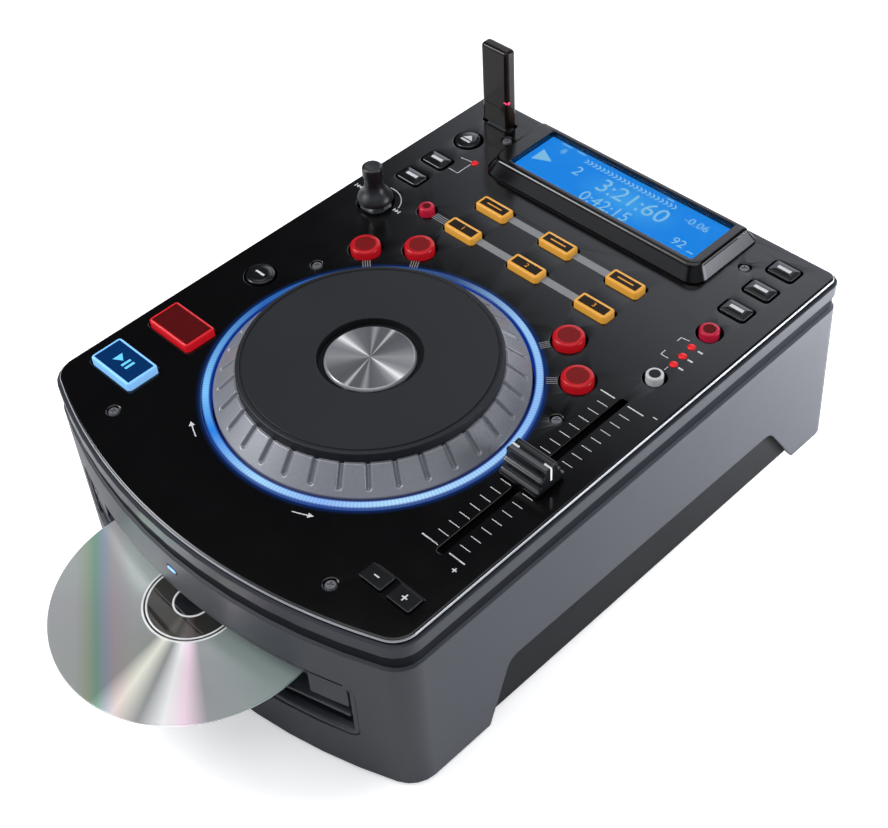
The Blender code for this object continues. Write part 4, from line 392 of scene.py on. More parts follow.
# painted glow: the lacquer glows blue from the ring's edge and fades over 4 mm, standing for the ring's light
# falling on it
tree, shader = inside(panel_gloss)
away = add(tree, "ShaderNodeVectorMath", {"operation": "LENGTH"}, {0: on_panel(tree)}).outputs["Value"]
ring_glow_paint = add(tree, "ShaderNodeMapRange", {"interpolation_type": "SMOOTHERSTEP"},
           {"Value": away, "From Min": 76.0, "From Max": 72.0, "To Min": 0.0, "To Max": 0.16})
tree.links.new(ring_glow_paint.outputs[0], shader.inputs["Emission Strength"])

# The panel's overlay is clear acrylic printed black behind; its polished edge, like the cap's rounded edge,
# is coloured pale grey as a painted highlight.
edge_highlight_paint = new_finish("painted_edge_highlight", {"IOR": 1.49, "Metallic": 0.3, "Roughness": 0.25})
mottle(edge_highlight_paint, 25.0, tones=("#6d7074", "#b9bcc0"))

skin = bmesh.new()
PANEL_THICKNESS, PANEL_INSET, PANEL_EDGE = 2.2, 2.0, 1.4
curve = rounding(PANEL_EDGE, 0, 6)
rim = stack(skin, lambda i: case_outline(PANEL_INSET + i), [(0, -PANEL_THICKNESS), curve[0]])
# the rounded part of the rim takes the pale painted highlight
stack(skin, lambda i: case_outline(PANEL_INSET + i), curve[:4], 1)
rim += stack(skin, lambda i: case_outline(PANEL_INSET + i), curve[3:])
tops, bottoms = [rim[-1]], [rim[0]]
HOLE_EDGE = 0.5
# holes for the jog, the fader, the display, the track knob and the memory stick, then for each key
holes = [((0, 0, 146, 146, 73), 40), ((87, 7.2, 3.4, 110, 1.2), 4), ((0, 160.35, 116.4, 34.7, 2), 4),
         ((-87, 84.5, 17.8, 17.8, 8.9), 10), ((-86, 170.3, 18.2, 7.4, 1.5), 4)]
holes += [((x, y, w + 2 * KEY_GAP, d + 2 * KEY_GAP, c + KEY_GAP), 8)
          for name, ((x, y, w, d, c), rise) in KEYS.items() if name not in BEND_KEYS]
for shape, steps in holes:
    mouth = stack(skin, lambda i: outline(shape, i - HOLE_EDGE, steps),
                  [(HOLE_EDGE - i, h) for i, h in reversed(rounding(HOLE_EDGE, 0, 2))]
                  + [(HOLE_EDGE, -PANEL_THICKNESS)])
    tops.append(mouth[0])
    bottoms.append(mouth[-1])
# the two bend keys share a shallow well
BEND_WELL, WELL_DEPTH = (86.85, -72.1, 26.5, 9.8, 1.2), 0.5
mouth = stack(skin, lambda i: outline(BEND_WELL, i), [(0, 0), (0.2, -0.15), (0.3, -WELL_DEPTH)])
tops.append(mouth[0])
well_floor = [mouth[-1]]
for name, (x, y) in BEND_KEYS.items():
    width, depth, corner = BEND_SHAPE
    hole = stack(skin, lambda i: outline((x, y, width + 0.3, depth + 0.3, corner + 0.15), i),
                 [(0, -WELL_DEPTH), (0, -PANEL_THICKNESS)])
    well_floor.append(hole[0])
    bottoms.append(hole[1])
cover(skin, well_floor)
# screw wells with a flat floor
SCREWS = [(-67.8, -86.2), (67.8, -86.2), (-73.5, 34.6), (73.5, 34.6), (-73, 161.8), (73, 161.8)]
SCREW_WELL, SCREW_WELL_DEPTH = 3.1, 1.3
for x, y in SCREWS:
    shape = (x, y, 2 * SCREW_WELL, 2 * SCREW_WELL, SCREW_WELL)
    mouth = stack(skin, lambda i: outline(shape, i, 6), [(-0.45, 0), (0, -0.35), (0.1, -SCREW_WELL_DEPTH)])
    tops.append(mouth[0])
    cover(skin, [mouth[-1]])
cover(skin, tops)
cover(skin, bottoms)
bmesh.ops.remove_doubles(skin, verts=skin.verts, dist=0.0005)
fit(skin, "control_panel", [panel_gloss, edge_highlight_paint], "case", ["top_panel"], "panel_black", 40)

# Jog wheel: a hollow wheel moulded in silver painted ABS, its sloping skirt cut
# with 34 finger notches, that turns on the hub's post.

# Silver paint over ABS: a fine metal flake in a satin coat, darker on the notches' walls with painted shade
# and dust. Real flake is 0.05 mm; it is drawn at 0.6 mm.
wheel_paint = new_finish("silver_flake_paint",
                         {"IOR": 1.5, "Metallic": 0.35, "Specular IOR Level": 0.5, "Roughness": 0.36})
tree, shader = inside(wheel_paint)
flake = add(tree, "ShaderNodeTexVoronoi", None,
            {"Vector": add(tree, "ShaderNodeTexCoord").outputs["Object"], "Scale": 1600.0})
tone = add(tree, "ShaderNodeMix", {"data_type": "RGBA"},
           {0: flake.outputs["Color"], 6: colour("#83858b"), 7: colour("#8b8d93")})
# the notches' walls are darkened with painted shade and dust
notch_shade_and_dust = add(tree, "ShaderNodeAttribute", {"attribute_name": "notch_wall"}).outputs["Fac"]
shade_and_dust_tone = add(tree, "ShaderNodeMix", {"data_type": "RGBA"}, {0: notch_shade_and_dust, 6: tone.outputs[2], 7: colour("#2c2d31")})
tree.links.new(shade_and_dust_tone.outputs[2], shader.inputs["Base Color"])
relief = add(tree, "ShaderNodeBump", None,
             {"Strength": 0.05, "Distance": 0.0001, "Height": flake.outputs["Distance"]})
tree.links.new(relief.outputs[0], shader.inputs["Normal"])


def new_rule(name, inputs):
    """A Geometry Nodes tree with named inputs, listed under their kinds, and the outputs that give them."""
    rule = bpy.data.node_groups.new(name, "GeometryNodeTree")
    rule.interface.new_socket("Geometry", in_out="OUTPUT", socket_type="NodeSocketGeometry")
    for kind, names in inputs.items():
        for each in names:
            rule.interface.new_socket(each, in_out="INPUT", socket_type="NodeSocket" + kind)
    return rule, add(rule, "NodeGroupInput").outputs


def end_rule(rule, made, coat):
    """Ends a tree: its instances made real and its material set."""
    real = add(rule, "GeometryNodeRealizeInstances", None, {0: made})
    coated = add(rule, "GeometryNodeSetMaterial", None, {"Geometry": real, "Material": coat})
    add(rule, "NodeGroupOutput", None, {0: coated})


WHEEL = {"Foot Radius": 67.8, "Foot Height": 1.0, "Shoulder Radius": 57.9, "Shoulder Height": 10.1,
         "Notch Width": 3.0, "Notch End": 0.34, "Notch Depth": 1.5, "Notch Wall": 1.15,
         "Phase": math.radians(-2.25)}
NOTCHES, ACROSS, DOWN = 34, 34, 50
# the share of the climb where the slope starts and ends, a notch's length and the way straight into the slope
SLOPE_START, SLOPE_END, NOTCH_LENGTH, NOTCH_WAY = 0.08, 0.94, 5.4, (-0.669, -0.743)
rule, given = new_rule("notched_skirt", {"Float": WHEEL, "Material": ["Paint"]})
grid = add(rule, "GeometryNodeMeshGrid", None,
           {"Size X": 1.0, "Size Y": 1.0, "Vertices X": NOTCHES * ACROSS + 1, "Vertices Y": DOWN})
spot = add(rule, "ShaderNodeSeparateXYZ", None, {0: add(rule, "GeometryNodeInputPosition")}).outputs
angle = add(rule, "ShaderNodeMath", {"operation": "MULTIPLY_ADD"},
            {0: spot["X"], 1: math.tau, 2: given["Phase"]})
# from 0 at the foot to 1 at the land's inner edge
climb = add(rule, "ShaderNodeMath", {"operation": "ADD"}, {0: spot["Y"], 1: 0.5})
slope_radius, slope_height = [
    add(rule, "ShaderNodeMapRange", {"clamp": True},
        {"Value": climb, "From Min": SLOPE_START, "From Max": SLOPE_END, "To Min": given["Foot " + measure],
         "To Max": given["Shoulder " + measure]}) for measure in ("Radius", "Height")]
# the foot drops straight down, the land above the shoulder runs flat inwards
foot_drop = add(rule, "ShaderNodeMapRange", {"clamp": True},
                {"Value": climb, "From Min": SLOPE_START, "From Max": 0.0, "To Min": 0.0, "To Max": -3.0})
land = add(rule, "ShaderNodeMapRange", {"clamp": True},
           {"Value": climb, "From Min": SLOPE_END, "From Max": 1.0, "To Min": 0.0, "To Max": -1.1})
base_radius = add(rule, "ShaderNodeMath", {"operation": "ADD"}, {0: slope_radius, 1: land})
base_height = add(rule, "ShaderNodeMath", {"operation": "ADD"}, {0: slope_height, 1: foot_drop})
# how far this point is round the wheel from the middle of its notch, in millimetres
pitch = add(rule, "ShaderNodeMath", {"operation": "PINGPONG"},
            {0: add(rule, "ShaderNodeMath", {"operation": "ADD"}, {0: spot["X"], 1: 0.5}), 1: 0.5 / NOTCHES})
aside = add(rule, "ShaderNodeMath", {"operation": "MULTIPLY"},
            {0: add(rule, "ShaderNodeMath", {"operation": "MULTIPLY"}, {0: pitch, 1: math.tau}),
             1: base_radius})
# how far it is below the centre of the notch's round end, in millimetres of slope
below = add(rule, "ShaderNodeMapRange", {"clamp": True},
            {"Value": climb, "From Min": given["Notch End"], "From Max": 0.0, "To Min": 0.0,
             "To Max": NOTCH_LENGTH})
reach = add(rule, "ShaderNodeVectorMath", {"operation": "LENGTH"},
            {0: add(rule, "ShaderNodeCombineXYZ", None, {"X": aside, "Y": below})}).outputs["Value"]
half = add(rule, "ShaderNodeMath", {"operation": "MULTIPLY"}, {0: given["Notch Width"], 1: 0.5})
inner = add(rule, "ShaderNodeMath", {"operation": "SUBTRACT"}, {0: half, 1: given["Notch Wall"]})
cut = add(rule, "ShaderNodeMapRange", {"interpolation_type": "SMOOTHSTEP"},
          {"Value": reach, "From Min": half, "From Max": inner, "To Min": 0.0,
           "To Max": given["Notch Depth"]})
sunk_radius, sunk_height = [
    add(rule, "ShaderNodeMath", {"operation": "MULTIPLY_ADD"}, {0: cut, 1: way, 2: base})
    for way, base in zip(NOTCH_WAY, (base_radius, base_height))]
over, along = [
    add(rule, "ShaderNodeMath", {"operation": "MULTIPLY"},
        {0: add(rule, "ShaderNodeMath", {"operation": kind}, {0: angle}), 1: sunk_radius})
    for kind in ("COSINE", "SINE")]
to_place = add(rule, "ShaderNodeCombineXYZ", None, {"X": over, "Y": along, "Z": sunk_height})
moved = add(rule, "GeometryNodeSetPosition", None, {"Geometry": grid, "Position": to_place})
# the share of painted shade and dust: most on the notch's wall, none half a millimetre to each side of it
off_wall = add(rule, "ShaderNodeMath", {"operation": "ABSOLUTE"},
               {0: add(rule, "ShaderNodeMath", {"operation": "SUBTRACT"},
                       {0: reach,
                        1: add(rule, "ShaderNodeMath", {"operation": "SUBTRACT"}, {0: half, 1: 0.25})})})
shaded = add(rule, "ShaderNodeMapRange", {"interpolation_type": "SMOOTHSTEP"},
             {"Value": off_wall, "From Min": 0.65, "From Max": 0.1, "To Min": 0.0, "To Max": 0.3})
kept = add(rule, "GeometryNodeStoreNamedAttribute", {"data_type": "FLOAT", "domain": "POINT"},
           {"Geometry": moved, "Name": "notch_wall", "Value": shaded})
joined = add(rule, "GeometryNodeMergeByDistance", None, {"Geometry": kept, "Distance": 0.001})
end_rule(rule, joined, given["Paint"])


def grown(rule, values, name):
    """What a Geometry Nodes tree makes with these named inputs, as a plain mesh."""
    base = bpy.data.objects.new(name, bpy.data.meshes.new(name))
    scene.collection.objects.link(base)
    nodes = base.modifiers.new(rule.name, "NODES")
    nodes.node_group = rule
    for socket in rule.interface.items_tree:
        if socket.in_out == "INPUT" and socket.name in values:
            nodes[socket.identifier] = values[socket.name]
    evaluated = base.evaluated_get(bpy.context.evaluated_depsgraph_get())
    mesh = bpy.data.meshes.new_from_object(evaluated)
    bpy.data.objects.remove(base)
    return mesh


def turned(skin, profile, steps=96, material=0, x=0, y=0):
    """A turned surface from (radius, height) points; a radius of 0 closes it at its middle."""
    rings = [[skin.verts.new((x, y, h))] if r == 0 else ring(skin, arc_points(x, y, r, 0, 360, steps)[:-1], h)
             for r, h in profile]
    for low, high in zip(rings, rings[1:]):
        if len(low) == 1 or len(high) == 1:
            tip, rest = (low, high) if len(low) == 1 else (high, low)
            for i in range(len(rest)):
                skin.faces.new((rest[i - 1], rest[i], tip[0])).material_index = material
        else:
            wall(skin, low, high, material)
    return rings


skirt = grown(rule, dict(WHEEL, Paint=wheel_paint), "notched_skirt")
skin = bmesh.new()
skin.from_mesh(skirt)
rims = [e for e in skin.edges if e.is_boundary]
top_rim = {v for e in rims for v in e.verts if v.co.z > 5}
low_rim = {v for e in rims for v in e.verts if v.co.z < 5}
# the seat under the pad and the hollow inside close the wheel
SEAT = [(56.9, 8.2), (20, 8.2), (20, 5)]
HOLLOW = [(67.8, -4.2), (65.6, -4.2), (65.6, 0.6), (56, 6.4), (20, 5)]
for rim, levels in ((top_rim, SEAT), (low_rim, HOLLOW)):
    order = sorted(rim, key=lambda v: math.atan2(v.co.y, v.co.x))
    angles = [math.atan2(v.co.y, v.co.x) for v in order]
    last = order
    for radius, height in levels:
        new = [skin.verts.new((radius * math.cos(a), radius * math.sin(a), height)) for a in angles]
        wall(skin, last, new)
        last = new
bmesh.ops.remove_doubles(skin, verts=skin.verts, dist=0.001)
fit(skin, "jog_wheel_skirt", [wheel_paint], "jog", ["jog_wheel"], "wheel_silver", 50)

# Jog pad and centre cap: the pad is moulded ABS with a matt soft-touch coat,
# the cap a spun aluminium disc glued into the pad's dish.

# Soft-touch lacquer on ABS: matt, a little dusty, its bloom broken by fine grain.
soft_touch = new_finish("soft_touch_coat", {"IOR": 1.5, "Specular IOR Level": 0.25, "Roughness": 0.5})
mottle(soft_touch, 25.0, 3.0, tones=("#1d1e21", "#212226"), sheen=(0.42, 0.52))
mottle(soft_touch, 1500.0, relief=(0.1, 0.0001))

skin = bmesh.new()
pad_edge = [(56.7 - i, h) for i, h in rounding(0.9, 14.6, 4)]
# a shallow groove marks the rim off, and the dish for the cap is black: painted shade for the shadow in it
pad_rim = [(55.1, 14.6), (54.9, 14.5), (54.6, 14.0), (54.1, 14.0), (53.8, 14.5), (53.6, 14.6)]
dish_lip = [(23.1, 14.6), (22.75, 14.45), (22.6, 14.1)]
turned(skin, [(0, 8.2), (56.7, 8.2)] + pad_edge + pad_rim + [(40, 14.6)] + dish_lip, 192)
turned(skin, [(22.6, 14.1), (22.3, 11.2), (22.1, 11.0), (0, 11.0)], 192, 1)
bmesh.ops.remove_doubles(skin, verts=skin.verts, dist=0.001)
fit(skin, "jog_pad", [soft_touch, black_abs], "jog", ["jog_top_pad"], "wheel_pad", 40)

# Spun aluminium: concentric lathe lines 0.6 mm apart, drawn wider than the real 0.05 mm, as relief; the rays
# that they would fan from the lamps' light are painted into its colour as painted highlights.
spun_metal = new_finish("spun_aluminium", {"Metallic": 0.75, "Roughness": 0.42, "Anisotropic": 0.5})
tree, shader = inside(spun_metal)


def polar(tree, middle=(0, 0, 0)):
    """How far each point lies from a point on the panel, in millimetres, and in what direction."""
    flat = on_panel(tree, middle)
    spot = add(tree, "ShaderNodeSeparateXYZ", None, {0: flat}).outputs
    away = add(tree, "ShaderNodeVectorMath", {"operation": "LENGTH"}, {0: flat}).outputs["Value"]
    return away, add(tree, "ShaderNodeMath", {"operation": "ARCTAN2"}, {0: spot["Y"], 1: spot["X"]})


def shades(tree, value, stops, unit=1.0):
    """A colour ramp over a value, from (value, colour) stops that are written in the given unit."""
    start, end = stops[0][0], stops[-1][0]
    share = add(tree, "ShaderNodeMapRange", None,
                {"Value": value, "From Min": start * unit, "From Max": end * unit})
    made = add(tree, "ShaderNodeValToRGB", None, {0: share})
    ramp = made.color_ramp.elements
    for at, code in stops:
        position = (at - start) / (end - start)
        stop = ramp[0] if at == start else ramp[len(ramp) - 1] if at == end else ramp.new(position)
        stop.position, stop.color = position, colour(code)
    return made


def lathe_lines(finish, away, pitch, strength):
    """Concentric grooves pressed into a finish, at a pitch in millimetres."""
    tree, shader = inside(finish)
    turns = add(tree, "ShaderNodeMath", {"operation": "MULTIPLY"}, {0: away, 1: math.tau / pitch})
    wave = add(tree, "ShaderNodeMath", {"operation": "SINE"}, {0: turns})
    bump = add(tree, "ShaderNodeBump", None, {"Strength": strength, "Distance": 0.00002, "Height": wave})
    tree.links.new(bump.outputs[0], shader.inputs["Normal"])


away, direction = polar(tree)
lathe_lines(spun_metal, away, 0.6, 0.08)
# the painted highlight rays are the same on both sides of the middle
half_turn = add(tree, "ShaderNodeMath", {"operation": "WRAP"}, {0: direction, 1: math.pi, 2: 0.0})
# painted highlight rays and the grey between them, by angle in degrees from the panel's right
rays = shades(tree, half_turn,
              [(0, "#ffffff"), (9, "#a4a4a6"), (22, "#88888c"), (42, "#a0a0a2"), (66, "#747478"),
               (90, "#6a6a6e"), (99, "#747478"), (104, "#e8e8e8"), (109, "#707074"), (122, "#6e6e72"),
               (129, "#b2b2b4"), (136, "#6c6c70"), (158, "#7a7a7e"), (171, "#a4a4a6"), (180, "#ffffff")],
              math.radians(1))
tree.links.new(rays.outputs[0], shader.inputs["Base Color"])

CAP_EDGE = [(19.7, 11.9), (19.5, 12.4), (18.9, 12.95), (18.6, 13.08)]
skin = bmesh.new()
turned(skin, [(0, 11.1), (19.7, 11.1), (19.7, 11.9)], 144)
# the cap's rounded edge takes the pale painted highlight
turned(skin, CAP_EDGE, 144, 1)
turned(skin, [(18.6, 13.08), (18.4, 13.12), (12, 13.18), (0, 13.2)], 144)
bmesh.ops.remove_doubles(skin, verts=skin.verts, dist=0.001)
fit(skin, "spun_cap", [spun_metal, edge_highlight_paint], "jog", ["jog_center_cap"], "spun_aluminium", 40)

# Light ring round the jog: clear acrylic light guide with fine ribs moulded in,
# lit from below by blue LEDs, pressed into the panel.

# Acrylic with LEDs under it: a saturated glow that pales over each lamp, deeper blue at its edges.
light_guide = new_finish("blue_lit_acrylic", {"IOR": 1.49, "Specular IOR Level": 0.2, "Roughness": 0.2,
                                              "Base Color": colour("#06142c")})
tree, shader = inside(light_guide)
away, direction = polar(tree)
# brightest over its lamps, dimmed with painted shade where the wheel stands before it
lamp_and_shade_tone = shades(tree, direction,
                   [(-180, "#2c66b0"), (-131, "#80c8ff"), (-112, "#2a84e6"), (-84, "#a8dcff"),
                    (-60, "#90b8f6"), (-36, "#b4e0ff"), (25, "#8cbcf6"), (70, "#98c8f4"), (105, "#2c4878"),
                    (180, "#2c66b0")],
                   math.radians(1))
RIBS, RING_MIDDLE = 300.0, 70.9
ribs = add(tree, "ShaderNodeMath", {"operation": "SINE"},
           {0: add(tree, "ShaderNodeMath", {"operation": "MULTIPLY"}, {0: direction, 1: RIBS})})
glow = add(tree, "ShaderNodeMapRange", None,
           {"Value": ribs, "From Min": -1.0, "To Min": 0.85, "To Max": 1.05})
tree.links.new(glow.outputs[0], shader.inputs["Emission Strength"])
off_middle = add(tree, "ShaderNodeMath", {"operation": "ABSOLUTE"},
                 {0: add(tree, "ShaderNodeMath", {"operation": "SUBTRACT"}, {0: away, 1: RING_MIDDLE})})
edge_share = add(tree, "ShaderNodeMapRange", {"interpolation_type": "SMOOTHSTEP"},
                 {"Value": off_middle, "From Min": 0.9, "From Max": 1.9})
lit_tone = add(tree, "ShaderNodeMix", {"data_type": "RGBA"},
               {0: edge_share, 6: lamp_and_shade_tone, 7: colour("#052c86")})
tree.links.new(lit_tone.outputs[2], shader.inputs["Emission Color"])

skin = bmesh.new()
RING_IN, RING_OUT = 68.8, 72.6
profile = [(RING_IN, -4.9), (RING_OUT, -4.9)] + [(RING_OUT - i, h) for i, h in rounding(0.5, 0.9, 3)]
profile += [(RING_IN + i, h) for i, h in reversed(rounding(0.4, 0.9, 3))] + [(RING_IN, -4.9)]
turned(skin, profile, 240)
bmesh.ops.remove_doubles(skin, verts=skin.verts, dist=0.001)
fit(skin, "light_ring", [light_guide], "case", ["jog_light_ring"], "light_guide", 40)

# Keys: moulded keycaps that press through the panel. The lit ones are clear
# coloured acrylic with a dark printed window; the others are glossy black ABS
# with a printed mark.


def lit_acrylic(name, body, light, strength, roughness=0.25, shine=0.3):
    """Clear coloured acrylic lit from below, with a faint cloud in its tone."""
    made = new_finish(name, {"IOR": 1.49, "Roughness": roughness, "Specular IOR Level": shine,
                             "Emission Strength": strength})
    tree, shader = inside(made)
    where = add(tree, "ShaderNodeTexCoord").outputs["Object"]
    cloud = add(tree, "ShaderNodeTexNoise", None, {"Vector": where, "Scale": 160.0, "Detail": 2.0})
    soft = add(tree, "ShaderNodeMapRange", None, {"Value": cloud, "To Min": 0.9, "To Max": 1.0})
    for socket, code in (("Base Color", body), ("Emission Color", light)):
        tone = add(tree, "ShaderNodeMix", {"data_type": "RGBA"},
                   {0: soft, 6: [c * 0.8 for c in colour(code)[:3]] + [1], 7: colour(code)})
        tree.links.new(tone.outputs[2], shader.inputs[socket])
    return made


# Dyed acrylic over small lamps. The frames are pale and bright where the light leaves at their edges, the
# windows are smoked so that only a deep glow comes through, and the marks are bright.
red_frame = lit_acrylic("red_lit_acrylic", "#8a0c14", "#b8141e", 0.5)
cue_frame = lit_acrylic("cue_red_acrylic", "#a00f18", "#d01824", 0.6)
red_window = lit_acrylic("red_smoked_window", "#2c0809", "#641214", 0.5, 0.3, 0.06)
ring_window = lit_acrylic("dark_red_window", "#4a0c0d", "#82181a", 0.5, 0.3, 0.1)
pink_frame = lit_acrylic("pink_lit_acrylic", "#8a1228", "#b01c38", 0.5)
blue_frame = lit_acrylic("pale_blue_lit_acrylic", "#4d8fd0", "#86bdf0", 0.85)
blue_window = lit_acrylic("deep_blue_window", "#021a38", "#062c5c", 0.75, 0.3, 0.06)
blue_mark = lit_acrylic("cyan_lit_mark", "#3f8fb8", "#62b6dc", 0.9)
amber_frame = lit_acrylic("amber_lit_acrylic", "#b07c2c", "#dca040", 0.52)
amber_window = lit_acrylic("amber_smoked_window", "#120c06", "#221508", 0.5, 0.3, 0.15)
amber_mark = lit_acrylic("amber_lit_mark", "#8a5a18", "#c98a34", 0.8)
white_frame = lit_acrylic("white_lit_acrylic", "#a5a6a8", "#c6c7c9", 0.25)
grey_window = lit_acrylic("grey_smoked_window", "#161618", "#202023", 0.5, 0.3, 0.15)

# Gloss black ABS as it comes from a polished mould: softer than the panel's lacquer.
key_gloss = new_finish("black_polished_abs", {"IOR": 1.53, "Roughness": 0.2})
mottle(key_gloss, 90.0, 3.0, tones=("#0d0e10", "#141517"), sheen=(0.18, 0.26))

# White screen-printing ink, a little uneven in its cover.
white_ink = new_finish("white_printing_ink", {"IOR": 1.5, "Roughness": 0.45})
mottle(white_ink, 900.0, tones=("#b9babc", "#d8d9da"))


def slab(skin, points, low, high, material=0):
    """A thin flat plate of an outline between two heights."""
    rings = [ring(skin, points, low), ring(skin, points, high)]
    wall(skin, rings[0], rings[1], material)
    ends(skin, rings, material)


def written(text, size, x, y):
    """Characters as flat loops of faces: a list of polygons in millimetres on the panel."""
    letters = bpy.data.curves.new("characters", "FONT")
    letters.body, letters.size = text, size
    letters.resolution_u = 3
    letters.align_x, letters.align_y = "CENTER", "CENTER"
    holder = bpy.data.objects.new("characters", letters)
    scene.collection.objects.link(holder)
    mesh = bpy.data.meshes.new_from_object(holder.evaluated_get(bpy.context.evaluated_depsgraph_get()))
    faces = [[(mesh.vertices[i].co.x + x, mesh.vertices[i].co.y + y) for i in face.vertices]
             for face in mesh.polygons]
    bpy.data.objects.remove(holder)
    return faces


def bars(x, y, *sizes):
    """Rectangles about a point, each given as offset x, offset y, width, depth."""
    return [[(x + dx - w / 2, y + dy - d / 2), (x + dx + w / 2, y + dy - d / 2),
             (x + dx + w / 2, y + dy + d / 2), (x + dx - w / 2, y + dy + d / 2)] for dx, dy, w, d in sizes]


def play_mark(x, y):
    """A triangle and two strokes: play and pause."""
    return ([[(x - 4.6, y - 2.6), (x - 0.4, y), (x - 4.6, y + 2.6)]]
            + bars(x, y, (1.6, 0, 1.3, 5), (4.2, 0, 1.3, 5)))


def eject_mark(x, y):
    """A triangle over a stroke: eject."""
    return [[(x - 3, y - 0.4), (x + 3, y - 0.4), (x, y + 2.8)]] + bars(x, y, (0, -1.9, 6, 1.2))


# key: edge radius, window inset, frame, window, mark and its ink
KEY_LOOKS = {
    "cue": (0.9, 1.1, cue_frame, red_window, None, None),
    "play_pause": (0.9, 1.1, blue_frame, blue_window, play_mark, blue_mark),
    "record": (1.2, 1.7, pink_frame, red_window, None, None),
    "master_tempo": (0.9, 1.5, pink_frame, red_window, None, None),
    "pitch_range": (0.8, 1.2, white_frame, grey_window, None, None),
    "eject": (0.8, 1.0, key_gloss, key_gloss, eject_mark, white_ink),
    "tap": (0.8, 1.0, key_gloss, key_gloss, lambda x, y: bars(x, y, (0, 0, 5.4, 1.1)), white_ink)}
for number in "1234":
    KEY_LOOKS["mode_" + number] = (1.3, 2.0, red_frame, ring_window, None, None)
for number in "123":
    KEY_LOOKS["hot_cue_" + number] = (0.8, 1.35, amber_frame, amber_window,
                                      lambda x, y, n=number: written(n, 3.6, x, y), amber_mark)
for name in ("loop_in", "loop_out", "reloop"):
    KEY_LOOKS[name] = (0.8, 1.35, amber_frame, amber_window,
                       lambda x, y: bars(x, y, (0, 0, 9, 0.8)), amber_mark)
for name in ("folder", "source", "program", "single", "time"):
    KEY_LOOKS[name] = (0.8, 0.9, key_gloss, key_gloss,
                       lambda x, y: bars(x, y, (0, 0.2, 7.0, 1.8)), white_ink)
KEY_LOOKS["bend_minus"] = (0.3, 1.0, key_gloss, key_gloss,
                           lambda x, y: bars(x, y, (0, 0, 2.6, 0.6)), white_ink)
KEY_LOOKS["bend_plus"] = (0.3, 1.0, key_gloss, key_gloss,
                          lambda x, y: bars(x, y, (0, 0, 2.6, 0.6), (0, 1, 0.6, 1.4), (0, -1, 0.6, 1.4)),
                          white_ink)
SLOTS = {"cue": "red_clear", "play_pause": "blue_clear", "record": "red_clear", "master_tempo": "red_clear",
         "pitch_range": "white_clear", "mode": "red_clear", "hot_cue": "orange_clear",
         "loop_in": "orange_clear", "loop_out": "orange_clear", "reloop": "orange_clear"}
# where a key ends under the panel, how deep its window lies, and how far a black key's top is crowned
KEY_FOOT, WINDOW_SUNK, CROWN = -1.6, 0.12, 0.45
for name, (shape, rise) in KEYS.items():
    edge, window, frame_finish, window_finish, mark, ink = KEY_LOOKS[name]
    kind, number = (name[:-2], name[-1]) if name[-1].isdigit() else (name, "")
    node = f"{kind}_button_{number}" if number else f"{name}_button"
    body = f"{kind}_key_{number}" if number else f"{name}_key"
    skin = bmesh.new()
    steps = 8 if name in SQUARE_KEYS or name in BEND_KEYS else 16
    slim = KEY_SHRINK.get(name, 0.25)
    levels = [(0, KEY_FOOT)] + rounding(edge, rise, 4) + [(window, rise)]
    if window_finish is not key_gloss:
        levels += [(window + WINDOW_SUNK, rise - WINDOW_SUNK)]
    rings = stack(skin, lambda i: outline(shape, i + slim, steps), levels)
    cover(skin, [rings[0]])
    x, y = shape[:2]
    if window_finish is key_gloss and name not in BEND_KEYS:
        # the black keys have softly crowned tops
        crown = stack(skin, lambda i: outline(shape, i + slim, steps),
                      [(window + 2.6 * t, rise + CROWN * t * (2 - t)) for t in (0, 0.2, 0.4, 0.6, 0.8, 1)], 1)
        cover(skin, [crown[-1]], 1)
        top = rise + CROWN
    else:
        cover(skin, [rings[-1]], 1)
        top = levels[-1][1]
    bmesh.ops.remove_doubles(skin, verts=skin.verts, dist=0.0001)
    if mark:
        for points in mark(x, y):
            slab(skin, points, top - 0.1, top + 0.05, 2)
    materials = [frame_finish, window_finish] + ([ink] if ink else [])
    fit(skin, name + "_keycap", materials, body, [node], SLOTS.get(kind, "panel_black"), 40)

# Printed scales and lines: white and grey ink screen-printed on the panel,
# drawn 0.05 mm proud. The fader's scale has 18 short ticks a side between two
# long ones.

# Grey ink of the same kind, mixed darker, so that it stays behind the white.
grey_ink = new_finish("grey_printing_ink", {"IOR": 1.5, "Roughness": 0.35})
mottle(grey_ink, 700.0, tones=("#747577", "#848587"))


def printed(skin, points):
    """A patch of ink, let a little into the panel so that it stands on it everywhere."""
    slab(skin, points, -0.01, 0.04)


scale, given = new_rule("printed_ticks", {
    "Int": ["Count"], "Vector": ["First", "Step", "Tick"], "Material": ["Ink"]})
row = add(scale, "GeometryNodeMeshLine", {"mode": "OFFSET"},
          {"Count": given["Count"], "Start Location": given["First"], "Offset": given["Step"]})
tick = add(scale, "GeometryNodeMeshCube", None, {"Size": given["Tick"]})
spread = add(scale, "GeometryNodeInstanceOnPoints", None, {"Points": row, "Instance": tick})
end_rule(scale, spread, given["Ink"])

# first tick's middle, step to the next, count, tick's width, depth and height
TICKS = [((81.5, 53.95), (0, -5.85), 18, (5.6, 0.32)), ((93.2, 53.95), (0, -5.85), 18, (5.3, 0.32)),
         ((79.5, 59.8), (0, -105.2), 2, (7.8, 0.6)), ((94.4, 59.8), (0, -105.2), 2, (8.3, 0.6))]
skin = bmesh.new()
for first, step, count, size in TICKS:
    skin.from_mesh(grown(scale, {"Count": count, "First": (*first, 0.02), "Step": (*step, 0),
                                 "Tick": (*size, 0.06), "Ink": white_ink}, "ticks"))
fit(skin, "fader_scale", [white_ink], "case", (), "white_clear")

